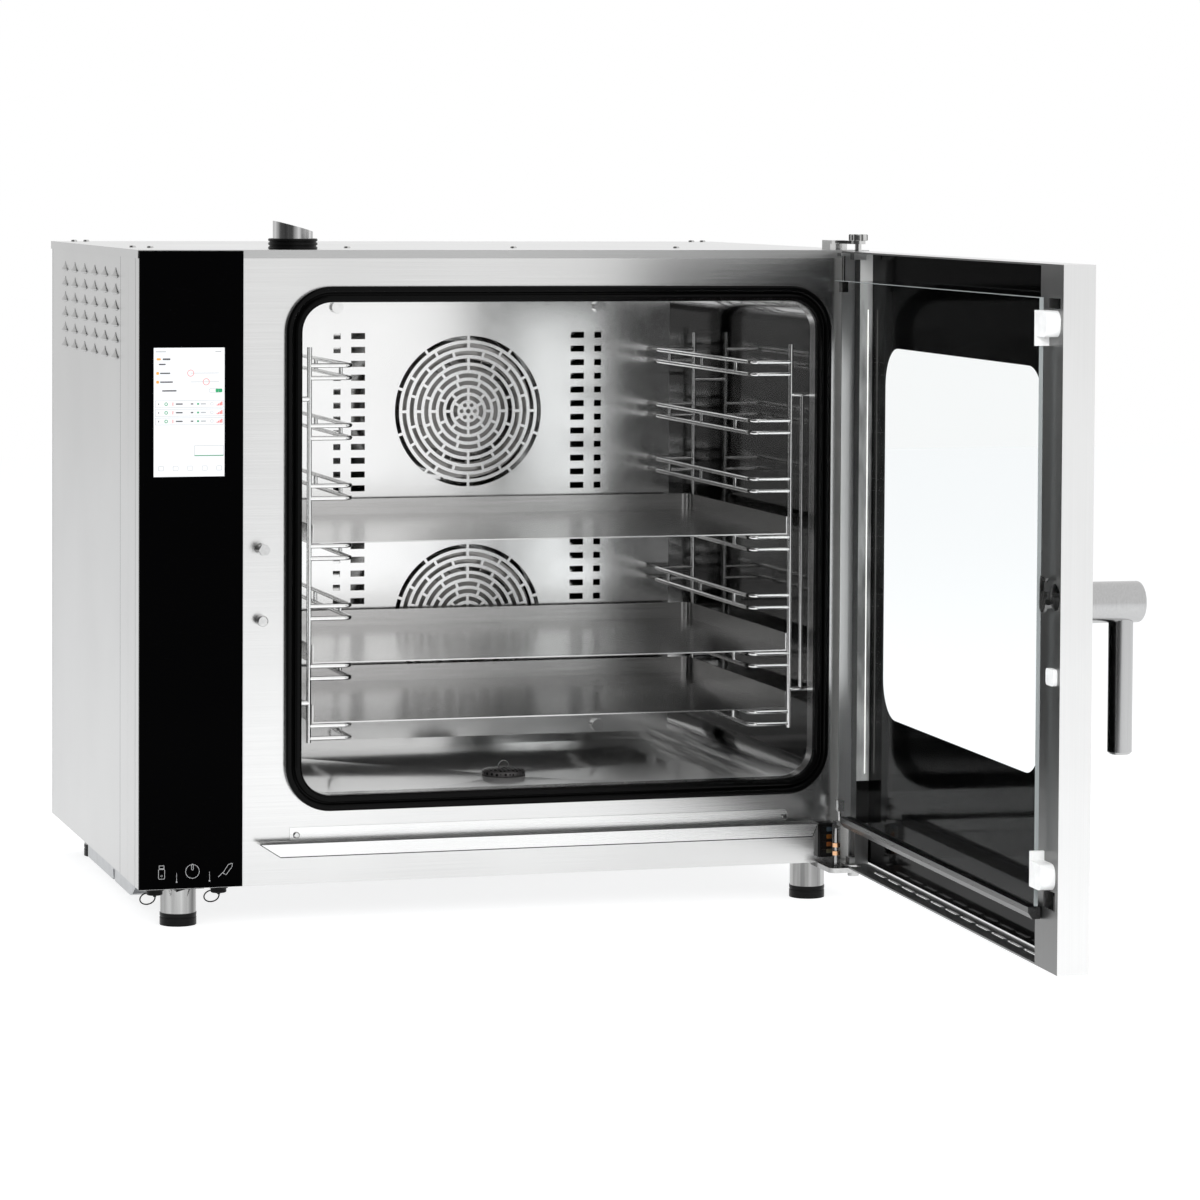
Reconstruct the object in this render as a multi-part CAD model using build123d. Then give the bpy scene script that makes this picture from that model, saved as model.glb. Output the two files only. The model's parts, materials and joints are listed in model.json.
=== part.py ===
from build123d import *
from math import atan2, cos, degrees, pi, radians, sin
import os

# Combi oven with seven tray levels, a touch screen column on the left and a side hung glass door.
# Millimetres. X runs to the right, Y runs from the front to the back, Z runs up.
# The origin is on the floor, in the middle of the four feet.

# Body
body_width = 910.0
body_depth = 640.0
body_height = 756.0
foot_height = 50.0
sheet = 1.5
thin_sheet = 1.2
roof_lip = 10.0
roof_overhang = 2.0
seat_gap = 0.3

# Control column
column_width = 126.0
column_depth = 76.0
control_glass_thick = 4.0
screen_width = 84.6
screen_height = 152.0
screen_from_left = 18.0
screen_from_top = 115.0
screen_module_depth = 14.0
port_pitch = 38.5
port_from_left = 23.5
port_from_front = 17.0
port_radius = 9.0
cap_radius = 12.0
cap_height = 8.5
cap_travel = 12.0
pull_ring_radius = 9.0
pull_ring_wire = 0.8
pull_ring_fall = 20.0
pull_ring_tilt = 35.0
rocker_length = 30.0
rocker_width = 14.0
rocker_tilt = 7.0
power_board_below_roof = 456.0
power_board_height = 220.0

# Mouth of the cavity and its seal
mouth_width = 645.0
mouth_above_base = 106.0
mouth_below_top = 62.0
mouth_corner = 36.0
collar_depth = 20.0
lobe_width = 8.5
lobe_space = 2.0
outer_lobe_thick = 9.5
door_gap = 21.0

# Cavity
cavity_side_step = 3.0
cavity_top_step = 6.0
cavity_floor_step = 18.0
cavity_depth = 500.0
insulation_thick = 20.0
floor_slab = 5.2
floor_fall = 4.0
drain_radius = 28.0
drain_from_front = 265.0
drain_pipe_radius = 18.0
drain_pipe_wall = 2.0
drain_spigot_radius = 20.0
drain_spigot_length = 24.0
drain_outlet_height = 85.0
drain_outlet_reach = 28.0

# Racks and trays
tray_width = 600.0
tray_depth = 400.0
tray_sheet = 1.5
tray_lip = 22.0
tray_side_gap = 1.0
tray_travel = 300.0
rack_wire = 3.0
rack_front = 37.0
rack_length = 396.0
rack_levels = 7
rack_top_level = 139.0
rack_low_level = 183.8
rack_pair_drop = 15.0
loop_reach = 52.0
tray_levels = {"tray_upper": 4, "tray_middle": 6, "tray_lower": 7}

# Fans, heaters and the baffle in front of them
baffle_from_front = 450.0
baffle_width = 550.0
baffle_top_gap = 15.0
baffle_floor_gap = 22.0
fan_from_roof = 219.0
fan_from_base = 264.0
fan_radius = 88.0
fan_depth = 38.0
fan_blades = 20
shaft_radius = 6.0
running_clearance = 0.05
grille_rings = (6, 8, 8, 10, 10, 12, 12, 12, 10)
grille_pitch = 9.8
grille_slot = 5.6
grille_web = 3.6
side_slot_rows = 12
side_slot_pitch = 18.0
side_slot_height = 8.0
side_slots = {148.0: 18.5, 176.0: 9.5}
heater_radius = 112.0
heater_tube = 4.0
heater_open = 15.0
motor_radius = 52.0
motor_length = 84.0
baffle_screw_reach = 177.0
baffle_screw_radius = 8.0

# Door
door_width = 774.0
door_thick = 36.0
door_foot_gap = 1.0
door_sheet = 2.0
flange_width = 69.0
flange_fold = 20.0
hinge_from_edge = 21.0
hinge_behind_rim = 14.0
hinge_edge_from_right = 6.0
door_rest_angle = 88.0
hinge_pin_radius = 4.0
hinge_plate = 6.0
hinge_foot_height = 8.0
hinge_arm = 4.0
hinge_eye_radius = 9.0
hinge_boss_half = 7.5
hinge_boss_height = 10.0
hinge_nut_radius = 11.8
hinge_nut_height = 8.0
outer_glass_thick = 4.0
inner_glass_thick = 5.0
inner_glass_proud = 9.8
inner_glass_top = 36.0
inner_glass_bottom = 65.0
inner_glass_free_side = 47.0
inner_glass_hinge_side = 4.0
glass_pivot_radius = 2.0
glass_pivot_from_edge = 10.0
glass_pivot_proud = 1.0
glass_lug_thick = 4.0
rail_height = 12.5
rail_depth = 14.0
rail_gap = 1.0
led_width = 21.5
led_depth = 16.0
led_from_edge = 2.5
led_strip_low = 113.0
led_strip_length = 570.0
led_strip_width = 3.5
vent_slots = 12
vent_slot_length = 42.0
vent_slot_width = 5.0
clip_height = 28.0
clip_proud = 15.3
clip_from_edge = 8.0
clip_top = 77.0
clip_bottom = 89.0
clip_nib_width = 4.7
clip_nib_length = 10.0
contact_from_hinge_x = 20.0
contact_from_hinge_y = 7.0
contact_post_height = 46.0
contact_ring_radius = 5.0

# Handle and latch
handle_height = 444.0
handle_from_free_edge = 35.0
boss_radius = 22.3
boss_length = 67.5
boss_edge = 5.0
lever_radius = 13.3
lever_length = 163.0
lever_standoff = 45.2
spindle_radius = 6.0
striker_from_left = 147.0
striker_height = 452.0
striker_reach = 25.0
striker_stem = 4.0
striker_head = 14.0
striker_head_thick = 6.0
striker_room = 14.5
hook_swing = 60.0
hook_thick = 3.0
button_radius = 6.5
button_reach = 16.0
button_height = 367.0
button_travel = 6.0

# Chimney, gutter, feet and what is screwed on
chimney_from_left = 195.0
chimney_from_front = 45.0
chimney_radius = 24.0
chimney_wall = 1.5
chimney_high_side = 34.0
chimney_low_side = 21.0
boot_radius = 29.5
boot_height = 13.0
gutter_reach = 20.0
gutter_height = 17.0
gutter_above_base = 35.0
gutter_left = 142.0
gutter_right = 843.0
gutter_left_slant = 26.0
gutter_right_slant = 8.0
gutter_strip_height = 33.0
foot_radius = 22.0
foot_base_height = 16.0
foot_inset_x = 58.0
foot_inset_y = 50.0
screw_head = 4.0
screw_head_height = 2.5
louvre_length = 36.0
louvre_height = 11.0
louvre_rise = 4.0
louvre_columns = 6
louvre_rows = 6
louvre_pitch_y = 74.3
louvre_pitch_z = 19.6
inlet_radius = 13.2
inlet_neck_radius = 12.0
inlet_thread = 12.0
inlet_reach = 14.0

# Places worked out from the sizes
x_left = -body_width / 2
x_right = body_width / 2
y_front = -body_depth / 2
y_back = body_depth / 2
z_base = foot_height
z_roof = foot_height + body_height
x_column = x_left + column_width
side_face = x_left + roof_overhang
mouth_x = (x_column + x_right) / 2
mouth_height = body_height - mouth_above_base - mouth_below_top
mouth_z = z_base + mouth_above_base + mouth_height / 2
gasket_width = 2 * lobe_width + lobe_space
cavity_half = mouth_width / 2 + cavity_side_step
cavity_z0 = mouth_z - mouth_height / 2 - cavity_floor_step
cavity_z1 = mouth_z + mouth_height / 2 + cavity_top_step
cavity_y0 = y_front + collar_depth
cavity_y1 = cavity_y0 + cavity_depth
cavity_mid_z = (cavity_z0 + cavity_z1) / 2
cavity_height = cavity_z1 - cavity_z0
cavity_corner = mouth_corner
drain_y = y_front + drain_from_front
baffle_y = y_front + baffle_from_front
fan_z = [z_roof - fan_from_roof, z_base + fan_from_base]
insulation_y1 = cavity_y1 + thin_sheet + insulation_thick
door_x1 = x_right - hinge_edge_from_right
door_x0 = door_x1 - door_width
door_z0 = z_base + door_foot_gap
door_z1 = z_roof - door_foot_gap
rim_y = y_front - door_gap
door_out_y = rim_y - door_thick
hinge_x = door_x1 - hinge_from_edge
hinge_y = rim_y - hinge_behind_rim
spindle_x = door_x0 + handle_from_free_edge
striker_x = x_left + striker_from_left
chimney_x = x_left + chimney_from_left
chimney_y = y_front + chimney_from_front
rack_pitch = (body_height - rack_top_level - rack_low_level) / (rack_levels - 1)
rack_rod_offset = tray_width / 2 + tray_side_gap + rack_wire
rack_y0 = y_front + rack_front
rack_y1 = rack_y0 + rack_length
foot_xs = (x_left + foot_inset_x, x_right - foot_inset_x)
foot_ys = (y_front + foot_inset_y, y_back - foot_inset_y)


# Shapes used by many pieces
def block(x0, x1, y0, y1, z0, z1):
    box = Box(abs(x1 - x0), abs(y1 - y0), abs(z1 - z0))
    return Pos((x0 + x1) / 2, (y0 + y1) / 2, (z0 + z1) / 2) * box


def rod_z(x, y, z0, z1, radius):
    return Pos(x, y, (z0 + z1) / 2) * Cylinder(radius, abs(z1 - z0))


def rod_y(x, z, y0, y1, radius):
    return Pos(x, (y0 + y1) / 2, z) * Rot(90, 0, 0) * Cylinder(radius, abs(y1 - y0))


def rod_x(y, z, x0, x1, radius):
    return Pos((x0 + x1) / 2, y, z) * Rot(0, 90, 0) * Cylinder(radius, abs(x1 - x0))


def rounded_tunnel(x, z, width, height, corner, y0, y1):
    outline = Plane(origin=(x, y1, z), x_dir=(1, 0, 0), z_dir=(0, -1, 0)) * RectangleRounded(width, height, corner)
    return extrude(outline, abs(y1 - y0))


def tube_along(points, radius, bend):
    path = FilletPolyline(*points, radius=bend)
    start = Plane(origin=path @ 0, z_dir=path % 0)
    return sweep(start * Circle(radius), path=path)


def fuse(shapes):
    shapes = list(shapes)
    return shapes[0].fuse(*shapes[1:]) if len(shapes) > 1 else shapes[0]


def cut(shape, tools):
    return shape.cut(*list(tools))


def group(shapes):
    return Compound(children=list(shapes))


# Roof: a folded cap with a lip all round, open over the control glass
roof_screw_places = [
    (x_left + 24, y_front + 170), (x_left + 40, y_front + 140), (x_left + 24, y_back - 40), (x_left + 40, y_back - 40),
    (x_left + 280, y_front + 125), (x_left + 490, y_front + 125), (x_left + 700, y_front + 125),
    (x_right - 40, y_back - 40), (x_right - 24, y_back - 40),
]
screw_hole = 2.2


def make_roof():
    cap = block(x_left, x_right, y_front, y_back, z_roof - roof_lip, z_roof)
    hollow = block(x_left + sheet, x_right - sheet, y_front + sheet, y_back - sheet, z_roof - roof_lip, z_roof - sheet)
    over_column = block(x_left, x_column, y_front, y_front + sheet, z_roof - roof_lip, z_roof - sheet)
    chimney_hole = rod_z(chimney_x, chimney_y, z_roof - roof_lip, z_roof, chimney_radius + seat_gap)
    holes = [rod_z(x, y, z_roof - roof_lip, z_roof, screw_hole) for x, y in roof_screw_places]
    return cut(cap, [hollow, over_column, chimney_hole] + holes)


def dome_screw_z(x, y, z):
    head = rod_z(x, y, z, z + screw_head_height, screw_head)
    head = fillet(head.edges().sort_by(Axis.Z)[-1:], screw_head_height * 0.6)
    return fuse([head, rod_z(x, y, z - 8, z, screw_hole - 0.2)])


def dome_screw_y(x, z, y):
    head = rod_y(x, z, y - screw_head_height, y, screw_head)
    head = fillet(head.edges().sort_by(Axis.Y)[:1], screw_head_height * 0.6)
    return fuse([head, rod_y(x, z, y, y + 10, screw_hole - 0.2)])


# Left side panel with pressed louvres, plain right side panel
def louvre(y, z, wall):
    wide = Plane(origin=(side_face + 0.01 + wall * 3, y, z), x_dir=(0, 1, 0), z_dir=(-1, 0, 0))
    base = wide * Rectangle(louvre_length - 2 * wall, louvre_height - 2 * wall)
    lip_z = z - louvre_height / 2 + 1 + wall
    narrow = Plane(origin=(side_face - louvre_rise + wall, y, lip_z), x_dir=(0, 1, 0), z_dir=(-1, 0, 0))
    lip = narrow * Rectangle(louvre_length * 0.62 - 2 * wall, 2)
    return loft([base.face(), lip.face()], ruled=True)


def make_side_panel_left():
    y0 = y_front + column_depth + seat_gap
    panel = block(side_face, side_face + sheet, y0, y_back - sheet - seat_gap, z_base, z_roof - sheet - seat_gap)
    fold = block(side_face, side_face + 0.5, y0 + 46, y0 + 47.5, z_base, z_roof - roof_lip - 8)
    first_y = y_front + 156.4
    first_z = z_roof - 30.5
    places = [(first_y + c * louvre_pitch_y, first_z - r * louvre_pitch_z)
              for c in range(louvre_columns) for r in range(louvre_rows)]
    panel = fuse([panel] + [louvre(y, z, 0) for y, z in places])
    slots = [block(side_face - louvre_rise + 0.9, side_face + sheet + 1,
                   y - louvre_length * 0.31 + 1.2, y + louvre_length * 0.31 - 1.2,
                   z - louvre_height / 2 - 0.1, z - louvre_height / 2 + 2.2) for y, z in places]
    return cut(panel, [fold] + slots)


def make_side_panel_right():
    y0 = y_front + collar_depth + seat_gap
    face = x_right - roof_overhang
    return block(face - sheet, face, y0, y_back - sheet - seat_gap, z_base, z_roof - sheet - seat_gap)


# Rear panel with the motor vents and the service holes
rear_service = {"drain": (0.0, drain_outlet_height), "gland": (-330.0, 120.0)}
inlet_xs = (x_left + 80.0, x_left + 130.0)
inlet_z = z_base + 130.0


def make_rear_panel():
    face = block(x_left + sheet + seat_gap, x_right - sheet - seat_gap, y_back - sheet, y_back,
                 z_base, z_roof - roof_lip)
    vents = [block(mouth_x - 90, mouth_x + 90, y_back - sheet, y_back, z + k * 12 - 3, z + k * 12 + 3)
             for z in fan_z for k in range(-4, 5)]
    holes = [rod_y(x, inlet_z, y_back - sheet, y_back, inlet_neck_radius + seat_gap) for x in inlet_xs]
    holes.append(rod_y(mouth_x, drain_outlet_height, y_back - sheet, y_back, drain_pipe_radius + seat_gap))
    holes.append(rod_y(rear_service["gland"][0], rear_service["gland"][1], y_back - sheet, y_back, 12 + seat_gap))
    lip = block(side_face + sheet, x_right - roof_overhang - sheet, y_back - roof_lip - sheet, y_back - sheet,
                z_base + sheet, z_base + 2 * sheet)
    return fuse([cut(face, vents + holes), lip])


# Base pan between the side panels, cut out under the control column
def make_base_pan():
    x0 = side_face + sheet
    x1 = x_right - roof_overhang - sheet
    pan = block(x0, x1, y_front + sheet, y_back - sheet, z_base, z_base + sheet)
    column = block(x0, x_column, y_front, y_front + column_depth, z_base, z_base + sheet)
    stud_holes = [rod_z(x, y, z_base, z_base + sheet, 5) for x in foot_xs for y in foot_ys]
    return cut(pan, [column] + stud_holes)


# Front fascia: a brushed plate with the mouth and its inward collar
def make_front_fascia():
    z1 = z_roof - roof_lip
    plate = block(x_column, x_right, y_front, y_front + sheet, z_base, z1)
    side = block(x_right - sheet, x_right, y_front, y_front + collar_depth, z_base, z1)
    left_side = block(x_column, x_column + sheet, y_front, y_front + column_depth, z_base + sheet, z1)
    collar = rounded_tunnel(mouth_x, mouth_z, mouth_width + 2 * sheet, mouth_height + 2 * sheet,
                            mouth_corner + sheet, y_front, cavity_y0)
    mouth = rounded_tunnel(mouth_x, mouth_z, mouth_width, mouth_height, mouth_corner, y_front, cavity_y0)
    striker_hole = rod_y(striker_x, striker_height, y_front, y_front + sheet, striker_stem)
    button_hole = rod_y(striker_x, button_height, y_front, y_front + sheet, button_radius + seat_gap)
    screw_holes = [rod_y(x, gutter_screw_z, y_front, y_front + sheet, screw_hole) for x in gutter_screw_xs]
    return cut(fuse([plate, side, left_side, collar]), [mouth, striker_hole, button_hole] + screw_holes)


# Control column: folded housing, black glass front, screen, boards, ports and rocker
port_xs = [x_left + port_from_left + k * port_pitch for k in range(3)]
port_y = y_front + port_from_front
screen_x0 = x_left + screen_from_left
screen_x1 = screen_x0 + screen_width
screen_z1 = z_roof - screen_from_top
screen_z0 = screen_z1 - screen_height


def make_control_housing():
    z1 = z_roof - sheet - seat_gap
    outer = block(side_face, x_column - seat_gap, y_front, y_front + column_depth, z_base, z1)
    inner = block(side_face + sheet, x_column - seat_gap - sheet, y_front + sheet, y_front + column_depth,
                  z_base + sheet, z1 - sheet)
    window = block(screen_x0 - 2, screen_x1 + 2, y_front, y_front + sheet, screen_z0 - 2, screen_z1 + 2)
    fold = block(side_face, side_face + 0.5, y_front + 27, y_front + 28.5, z_base, z1)
    ports = [rod_z(x, port_y, z_base, z_base + sheet, port_radius) for x in (port_xs[0], port_xs[2])]
    stud = rod_z(foot_xs[0], foot_ys[0], z_base, z_base + sheet, 5)
    rocker = block(port_xs[1] - rocker_length / 2 - 2, port_xs[1] + rocker_length / 2 + 2,
                   port_y - rocker_width / 2 - 2, port_y + rocker_width / 2 + 2, z_base, z_base + sheet)
    return cut(outer, [inner, window, fold, rocker, stud] + ports)


def make_control_glass():
    glass = block(x_left + 1, x_column - 1, y_front - control_glass_thick, y_front, z_base + 1, z_roof - 1)
    opening = block(screen_x0, screen_x1, y_front - control_glass_thick, y_front, screen_z0, screen_z1)
    return cut(glass, [opening])


def make_touch_display():
    face = block(screen_x0, screen_x1, y_front - control_glass_thick, y_front, screen_z0, screen_z1)
    module = block(screen_x0 - 1, screen_x1 + 1, y_front, y_front + screen_module_depth, screen_z0 - 1, screen_z1 + 1)
    return fuse([face, module])


def make_controller_board():
    y0 = y_front + screen_module_depth + 10
    board = block(x_left + 16, x_column - 16, y0, y0 + 1.6, screen_z0 - 30, screen_z1 + 10)
    spacers = [rod_y(x, z, y_front + screen_module_depth, y0, 3)
               for x in (screen_x0 + 6, screen_x1 - 6) for z in (screen_z0 + 6, screen_z1 - 6)]
    chips = [block(x_left + 30 + 26 * c, x_left + 48 + 26 * c, y0 + 1.6, y0 + 5, screen_z0 + 40 * r, screen_z0 + 18 + 40 * r)
             for c in range(3) for r in range(3)]
    plug = block(x_left + 30, x_column - 40, y0 + 1.6, y0 + 14, screen_z0 - 26, screen_z0 - 14)
    return fuse([board, plug] + spacers + chips)


def make_power_board():
    y0 = y_front + 190
    x0 = side_face + sheet
    z0 = z_roof - power_board_below_roof
    board = block(x0 + 8, x0 + 9.6, y0, y0 + 210, z0, z0 + power_board_height)
    spacers = [rod_x(y, z, x0, x0 + 8, 3) for y in (y0 + 12, y0 + 198) for z in (z0 + 12, z0 + power_board_height - 12)]
    relays = [block(x0 + 9.6, x0 + 34, y0 + 20 + 46 * k, y0 + 54 + 46 * k, z0 + 30, z0 + 72) for k in range(4)]
    sinks = [block(x0 + 9.6, x0 + 40, y0 + 30, y0 + 170, z0 + 100 + 9 * k, z0 + 103 + 9 * k) for k in range(9)]
    sink_foot = block(x0 + 9.6, x0 + 13, y0 + 30, y0 + 170, z0 + 100, z0 + 175)
    return fuse([board, sink_foot] + spacers + relays + sinks)


def make_port_sockets():
    z0 = z_base + sheet
    flange_usb = rod_z(port_xs[0], port_y, z0, z0 + 2, port_radius + 4)
    shell_usb = block(port_xs[0] - 7, port_xs[0] + 7, port_y - 4, port_y + 4, z_base, z0 + 22)
    hollow_usb = block(port_xs[0] - 6, port_xs[0] + 6, port_y - 2.6, port_y + 2.6, z_base, z0 + 18)
    flange_probe = rod_z(port_xs[2], port_y, z0, z0 + 2, port_radius + 4)
    shell_probe = rod_z(port_xs[2], port_y, z_base, z0 + 24, port_radius - 1.5)
    hollow_probe = rod_z(port_xs[2], port_y, z_base, z0 + 20, port_radius - 4)
    return group([cut(fuse([flange_usb, shell_usb]), [hollow_usb]), cut(fuse([flange_probe, shell_probe]), [hollow_probe])])


def make_switch_housing():
    x = port_xs[1]
    z0 = z_base - 1.5
    bezel = block(x - rocker_length / 2 - 4, x + rocker_length / 2 + 4, port_y - rocker_width / 2 - 4,
                  port_y + rocker_width / 2 + 4, z0, z_base)
    body = block(x - rocker_length / 2 - 1.7, x + rocker_length / 2 + 1.7, port_y - rocker_width / 2 - 1.7,
                 port_y + rocker_width / 2 + 1.7, z_base, z_base + 20)
    hollow = block(x - rocker_length / 2 - seat_gap, x + rocker_length / 2 + seat_gap, port_y - rocker_width / 2 - seat_gap,
                   port_y + rocker_width / 2 + seat_gap, z0, z_base + 14)
    tags = [block(x + k * 9 - 0.4, x + k * 9 + 0.4, port_y - 3, port_y + 3, z_base + 20, z_base + 30) for k in (-1, 1)]
    pivot_holes = rod_y(x, z_base + 3, port_y - rocker_width / 2 - 1.2, port_y + rocker_width / 2 + 1.2,
                        rocker_pivot + running_clearance)
    return cut(fuse([bezel, body] + tags), [hollow, pivot_holes])


rocker_pivot = 1.5


def make_power_rocker():
    x = port_xs[1]
    half = rocker_length / 2 - 0.6
    profile = Plane(origin=(x, port_y + rocker_width / 2, z_base + 3), x_dir=(1, 0, 0), z_dir=(0, -1, 0)) * make_face(
        Polyline((-half, 2), (-half, -6.5), (0, -4.5), (half, -6.5), (half, 2), (0, 4), close=True))
    paddle = extrude(profile, rocker_width)
    centre = Pos(x, port_y, z_base + 3)
    paddle = centre * Rot(0, -rocker_tilt, 0) * centre.inverse() * paddle
    pivot = rod_y(x, z_base + 3, port_y - rocker_width / 2 - 1, port_y + rocker_width / 2 + 1, rocker_pivot)
    return fuse([paddle, pivot])


def make_port_cap(x):
    low = z_base - cap_height
    flange = rod_z(x, port_y, z_base - 3, z_base, cap_radius)
    flange = fillet(flange.edges().sort_by(Axis.Z)[:1], 1.2)
    plug = rod_z(x, port_y, low, z_base - 2, cap_radius - 2.5)
    plug = fillet(plug.edges().sort_by(Axis.Z)[:1], 1.5)
    lug = block(x - 1.6, x + 1.6, port_y - 2.5, port_y + 2.5, low - 2.2, low + 1)
    run = pull_ring_radius * cos(radians(pull_ring_fall))
    drop = pull_ring_radius * sin(radians(pull_ring_fall))
    ring = Pos(x - run, port_y, low - 1 - drop) * Rot(0, -pull_ring_fall, 0) * Rot(pull_ring_tilt, 0, 0)
    ring = ring * Torus(pull_ring_radius, pull_ring_wire)
    return fuse([flange, plug, lug, ring])


# Cavity: a rounded steel tunnel with a falling floor, rear wall, drain and steam outlet
def make_cavity_shell():
    wide = 2 * cavity_half
    outer = rounded_tunnel(mouth_x, cavity_mid_z, wide + 2 * thin_sheet, cavity_height + 2 * thin_sheet,
                           cavity_corner + thin_sheet, cavity_y0, cavity_y1 + thin_sheet)
    inner = rounded_tunnel(mouth_x, cavity_mid_z, wide, cavity_height, cavity_corner, cavity_y0 + thin_sheet, cavity_y1)
    mouth = rounded_tunnel(mouth_x, mouth_z, mouth_width, mouth_height, mouth_corner, cavity_y0, cavity_y0 + thin_sheet)
    shell = cut(outer, [inner, mouth])
    slab_half = cavity_half - cavity_corner
    slab = block(mouth_x - slab_half, mouth_x + slab_half, cavity_y0, cavity_y1 + thin_sheet,
                 cavity_z0 - floor_slab, cavity_z0 - thin_sheet / 2)
    rim = Plane(origin=(mouth_x, (cavity_y0 + cavity_y1) / 2, cavity_z0 + 0.01)) * Rectangle(
        2 * slab_half - 12, cavity_depth - 24)
    sump = Plane(origin=(mouth_x, drain_y, cavity_z0 - floor_fall)) * Rectangle(2 * drain_radius, 2 * drain_radius)
    dish = loft([rim.face(), sump.face()], ruled=True)
    drain = rod_z(mouth_x, drain_y, cavity_z0 - floor_slab, cavity_z0, drain_radius)
    steam = rod_z(duct_drop_x, chimney_y, cavity_z1, cavity_z1 + thin_sheet, steam_radius)
    shafts = [rod_y(mouth_x, z, cavity_y1, cavity_y1 + thin_sheet, shaft_radius + 1) for z in fan_z]
    legs = [rod_y(mouth_x + s * heater_leg, z + heater_leg_drop, cavity_y1, cavity_y1 + thin_sheet, heater_tube + seat_gap)
            for z in fan_z for s in (-1, 1)]
    nozzles = [rod_y(nozzle_x, z, cavity_y1, cavity_y1 + thin_sheet, pipe_radius + seat_gap) for z in fan_z]
    posts = [rod_y(x, z, baffle_y + sheet, cavity_y1, 7) for x, z in baffle_screw_places]
    taps = [rod_y(x, z, baffle_y + sheet, baffle_y + 14, screw_hole) for x, z in baffle_screw_places]
    shell = fuse([shell, slab] + posts)
    return cut(shell, [dish, drain, steam] + shafts + legs + nozzles + taps)


def make_insulation():
    side = cavity_half + thin_sheet
    z0 = cavity_z0 - floor_slab
    z1 = cavity_z1 + thin_sheet
    y0 = cavity_y0 + 10
    y1 = cavity_y1 + thin_sheet
    wide = side + insulation_thick
    over = block(mouth_x - wide, mouth_x + wide, y0, insulation_y1, z1, z1 + insulation_thick)
    under = block(mouth_x - wide, mouth_x + wide, y0, insulation_y1, z0 - insulation_thick, z0)
    sides = [block(mouth_x + s * side, mouth_x + s * wide, y0, insulation_y1, z0, z1) for s in (-1, 1)]
    rear = block(mouth_x - side, mouth_x + side, y1, insulation_y1, z0, z1)
    drain = rod_z(mouth_x, drain_y, z0 - insulation_thick, z0, drain_radius + 3)
    steam = rod_z(duct_drop_x, chimney_y, z1, z1 + insulation_thick, steam_radius + 2)
    shafts = [rod_y(mouth_x, z, y1, insulation_y1, shaft_radius + 4) for z in fan_z]
    legs = [rod_y(mouth_x + s * heater_leg, z + heater_leg_drop, y1, insulation_y1, heater_tube + 1)
            for z in fan_z for s in (-1, 1)]
    nozzles = [rod_y(nozzle_x, z, y1, insulation_y1, pipe_radius + 1) for z in fan_z]
    studs = [rod_y(mouth_x + sx * motor_stud, z + sz * motor_stud, y1, insulation_y1, 5)
             for z in fan_z for sx in (-1, 1) for sz in (-1, 1)]
    return group([cut(over, [steam]), cut(under, [drain]), cut(rear, shafts + legs + nozzles + studs)] + sides)


# Door seal: a foot strip and two hollow looking lobes round the mouth
def seal_ring(inner_offset, width, thick, edge):
    outer = rounded_tunnel(mouth_x, mouth_z, mouth_width + 2 * (inner_offset + width), mouth_height + 2 * (inner_offset + width),
                           mouth_corner + inner_offset + width, y_front - thick, y_front)
    hole = rounded_tunnel(mouth_x, mouth_z, mouth_width + 2 * inner_offset, mouth_height + 2 * inner_offset,
                          mouth_corner + inner_offset, y_front - thick, y_front)
    ring = cut(outer, [hole])
    if edge > 0:
        ring = fillet(ring.faces().sort_by(Axis.Y)[0].edges(), edge)
    return ring


def make_door_gasket():
    foot = seal_ring(0, gasket_width, 3, 0)
    inner_lobe = seal_ring(0, lobe_width, door_gap - inner_glass_proud - seat_gap, 3)
    outer_lobe = seal_ring(lobe_width + lobe_space, lobe_width, outer_lobe_thick, 3)
    return fuse([foot, inner_lobe, outer_lobe])


# Drip gutter under the mouth: a trough with slanted ends and a strip that is screwed to the fascia
gutter_screw_xs = (x_left + 191.0, x_left + 804.0)
gutter_z0 = z_base + gutter_above_base
gutter_z1 = gutter_z0 + gutter_height
gutter_screw_z = gutter_z0 + gutter_strip_height - 9


def gutter_outline(wall, low):
    x0 = x_left + gutter_left + wall
    x1 = x_left + gutter_right - wall
    face = Plane(origin=(0, y_front, 0), x_dir=(1, 0, 0), z_dir=(0, -1, 0))
    return face * make_face(Polyline((x0, gutter_z1), (x0 + gutter_left_slant, low), (x1 - gutter_right_slant, low),
                                     (x1, gutter_z1), close=True))


def make_drip_gutter():
    trough = extrude(gutter_outline(0, gutter_z0), gutter_reach)
    hollow = extrude(gutter_outline(2 * sheet, gutter_z0 + sheet), gutter_reach)
    hollow = cut(hollow, [block(x_left, x_right, y_front - sheet, y_front, z_base, z_roof),
                          block(x_left, x_right, y_front - gutter_reach, y_front - gutter_reach + sheet, z_base, z_roof)])
    strip = block(x_left + gutter_left + 41, x_left + gutter_right - 35, y_front - sheet, y_front,
                  gutter_z1, gutter_z0 + gutter_strip_height)
    strip = fillet(strip.edges().filter_by(Axis.Y).sort_by(Axis.X)[-2:], 6)
    holes = [rod_y(x, gutter_screw_z, y_front - sheet, y_front, screw_hole) for x in gutter_screw_xs]
    return cut(fuse([cut(trough, [hollow]), strip]), holes)


# Baffle with two round grilles and slot columns beside them
baffle_screw_places = [
    (mouth_x + s * baffle_screw_reach, z) for s in (-1, 1) for z in (z_roof - 82.5, z_base + 120.0)]


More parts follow.
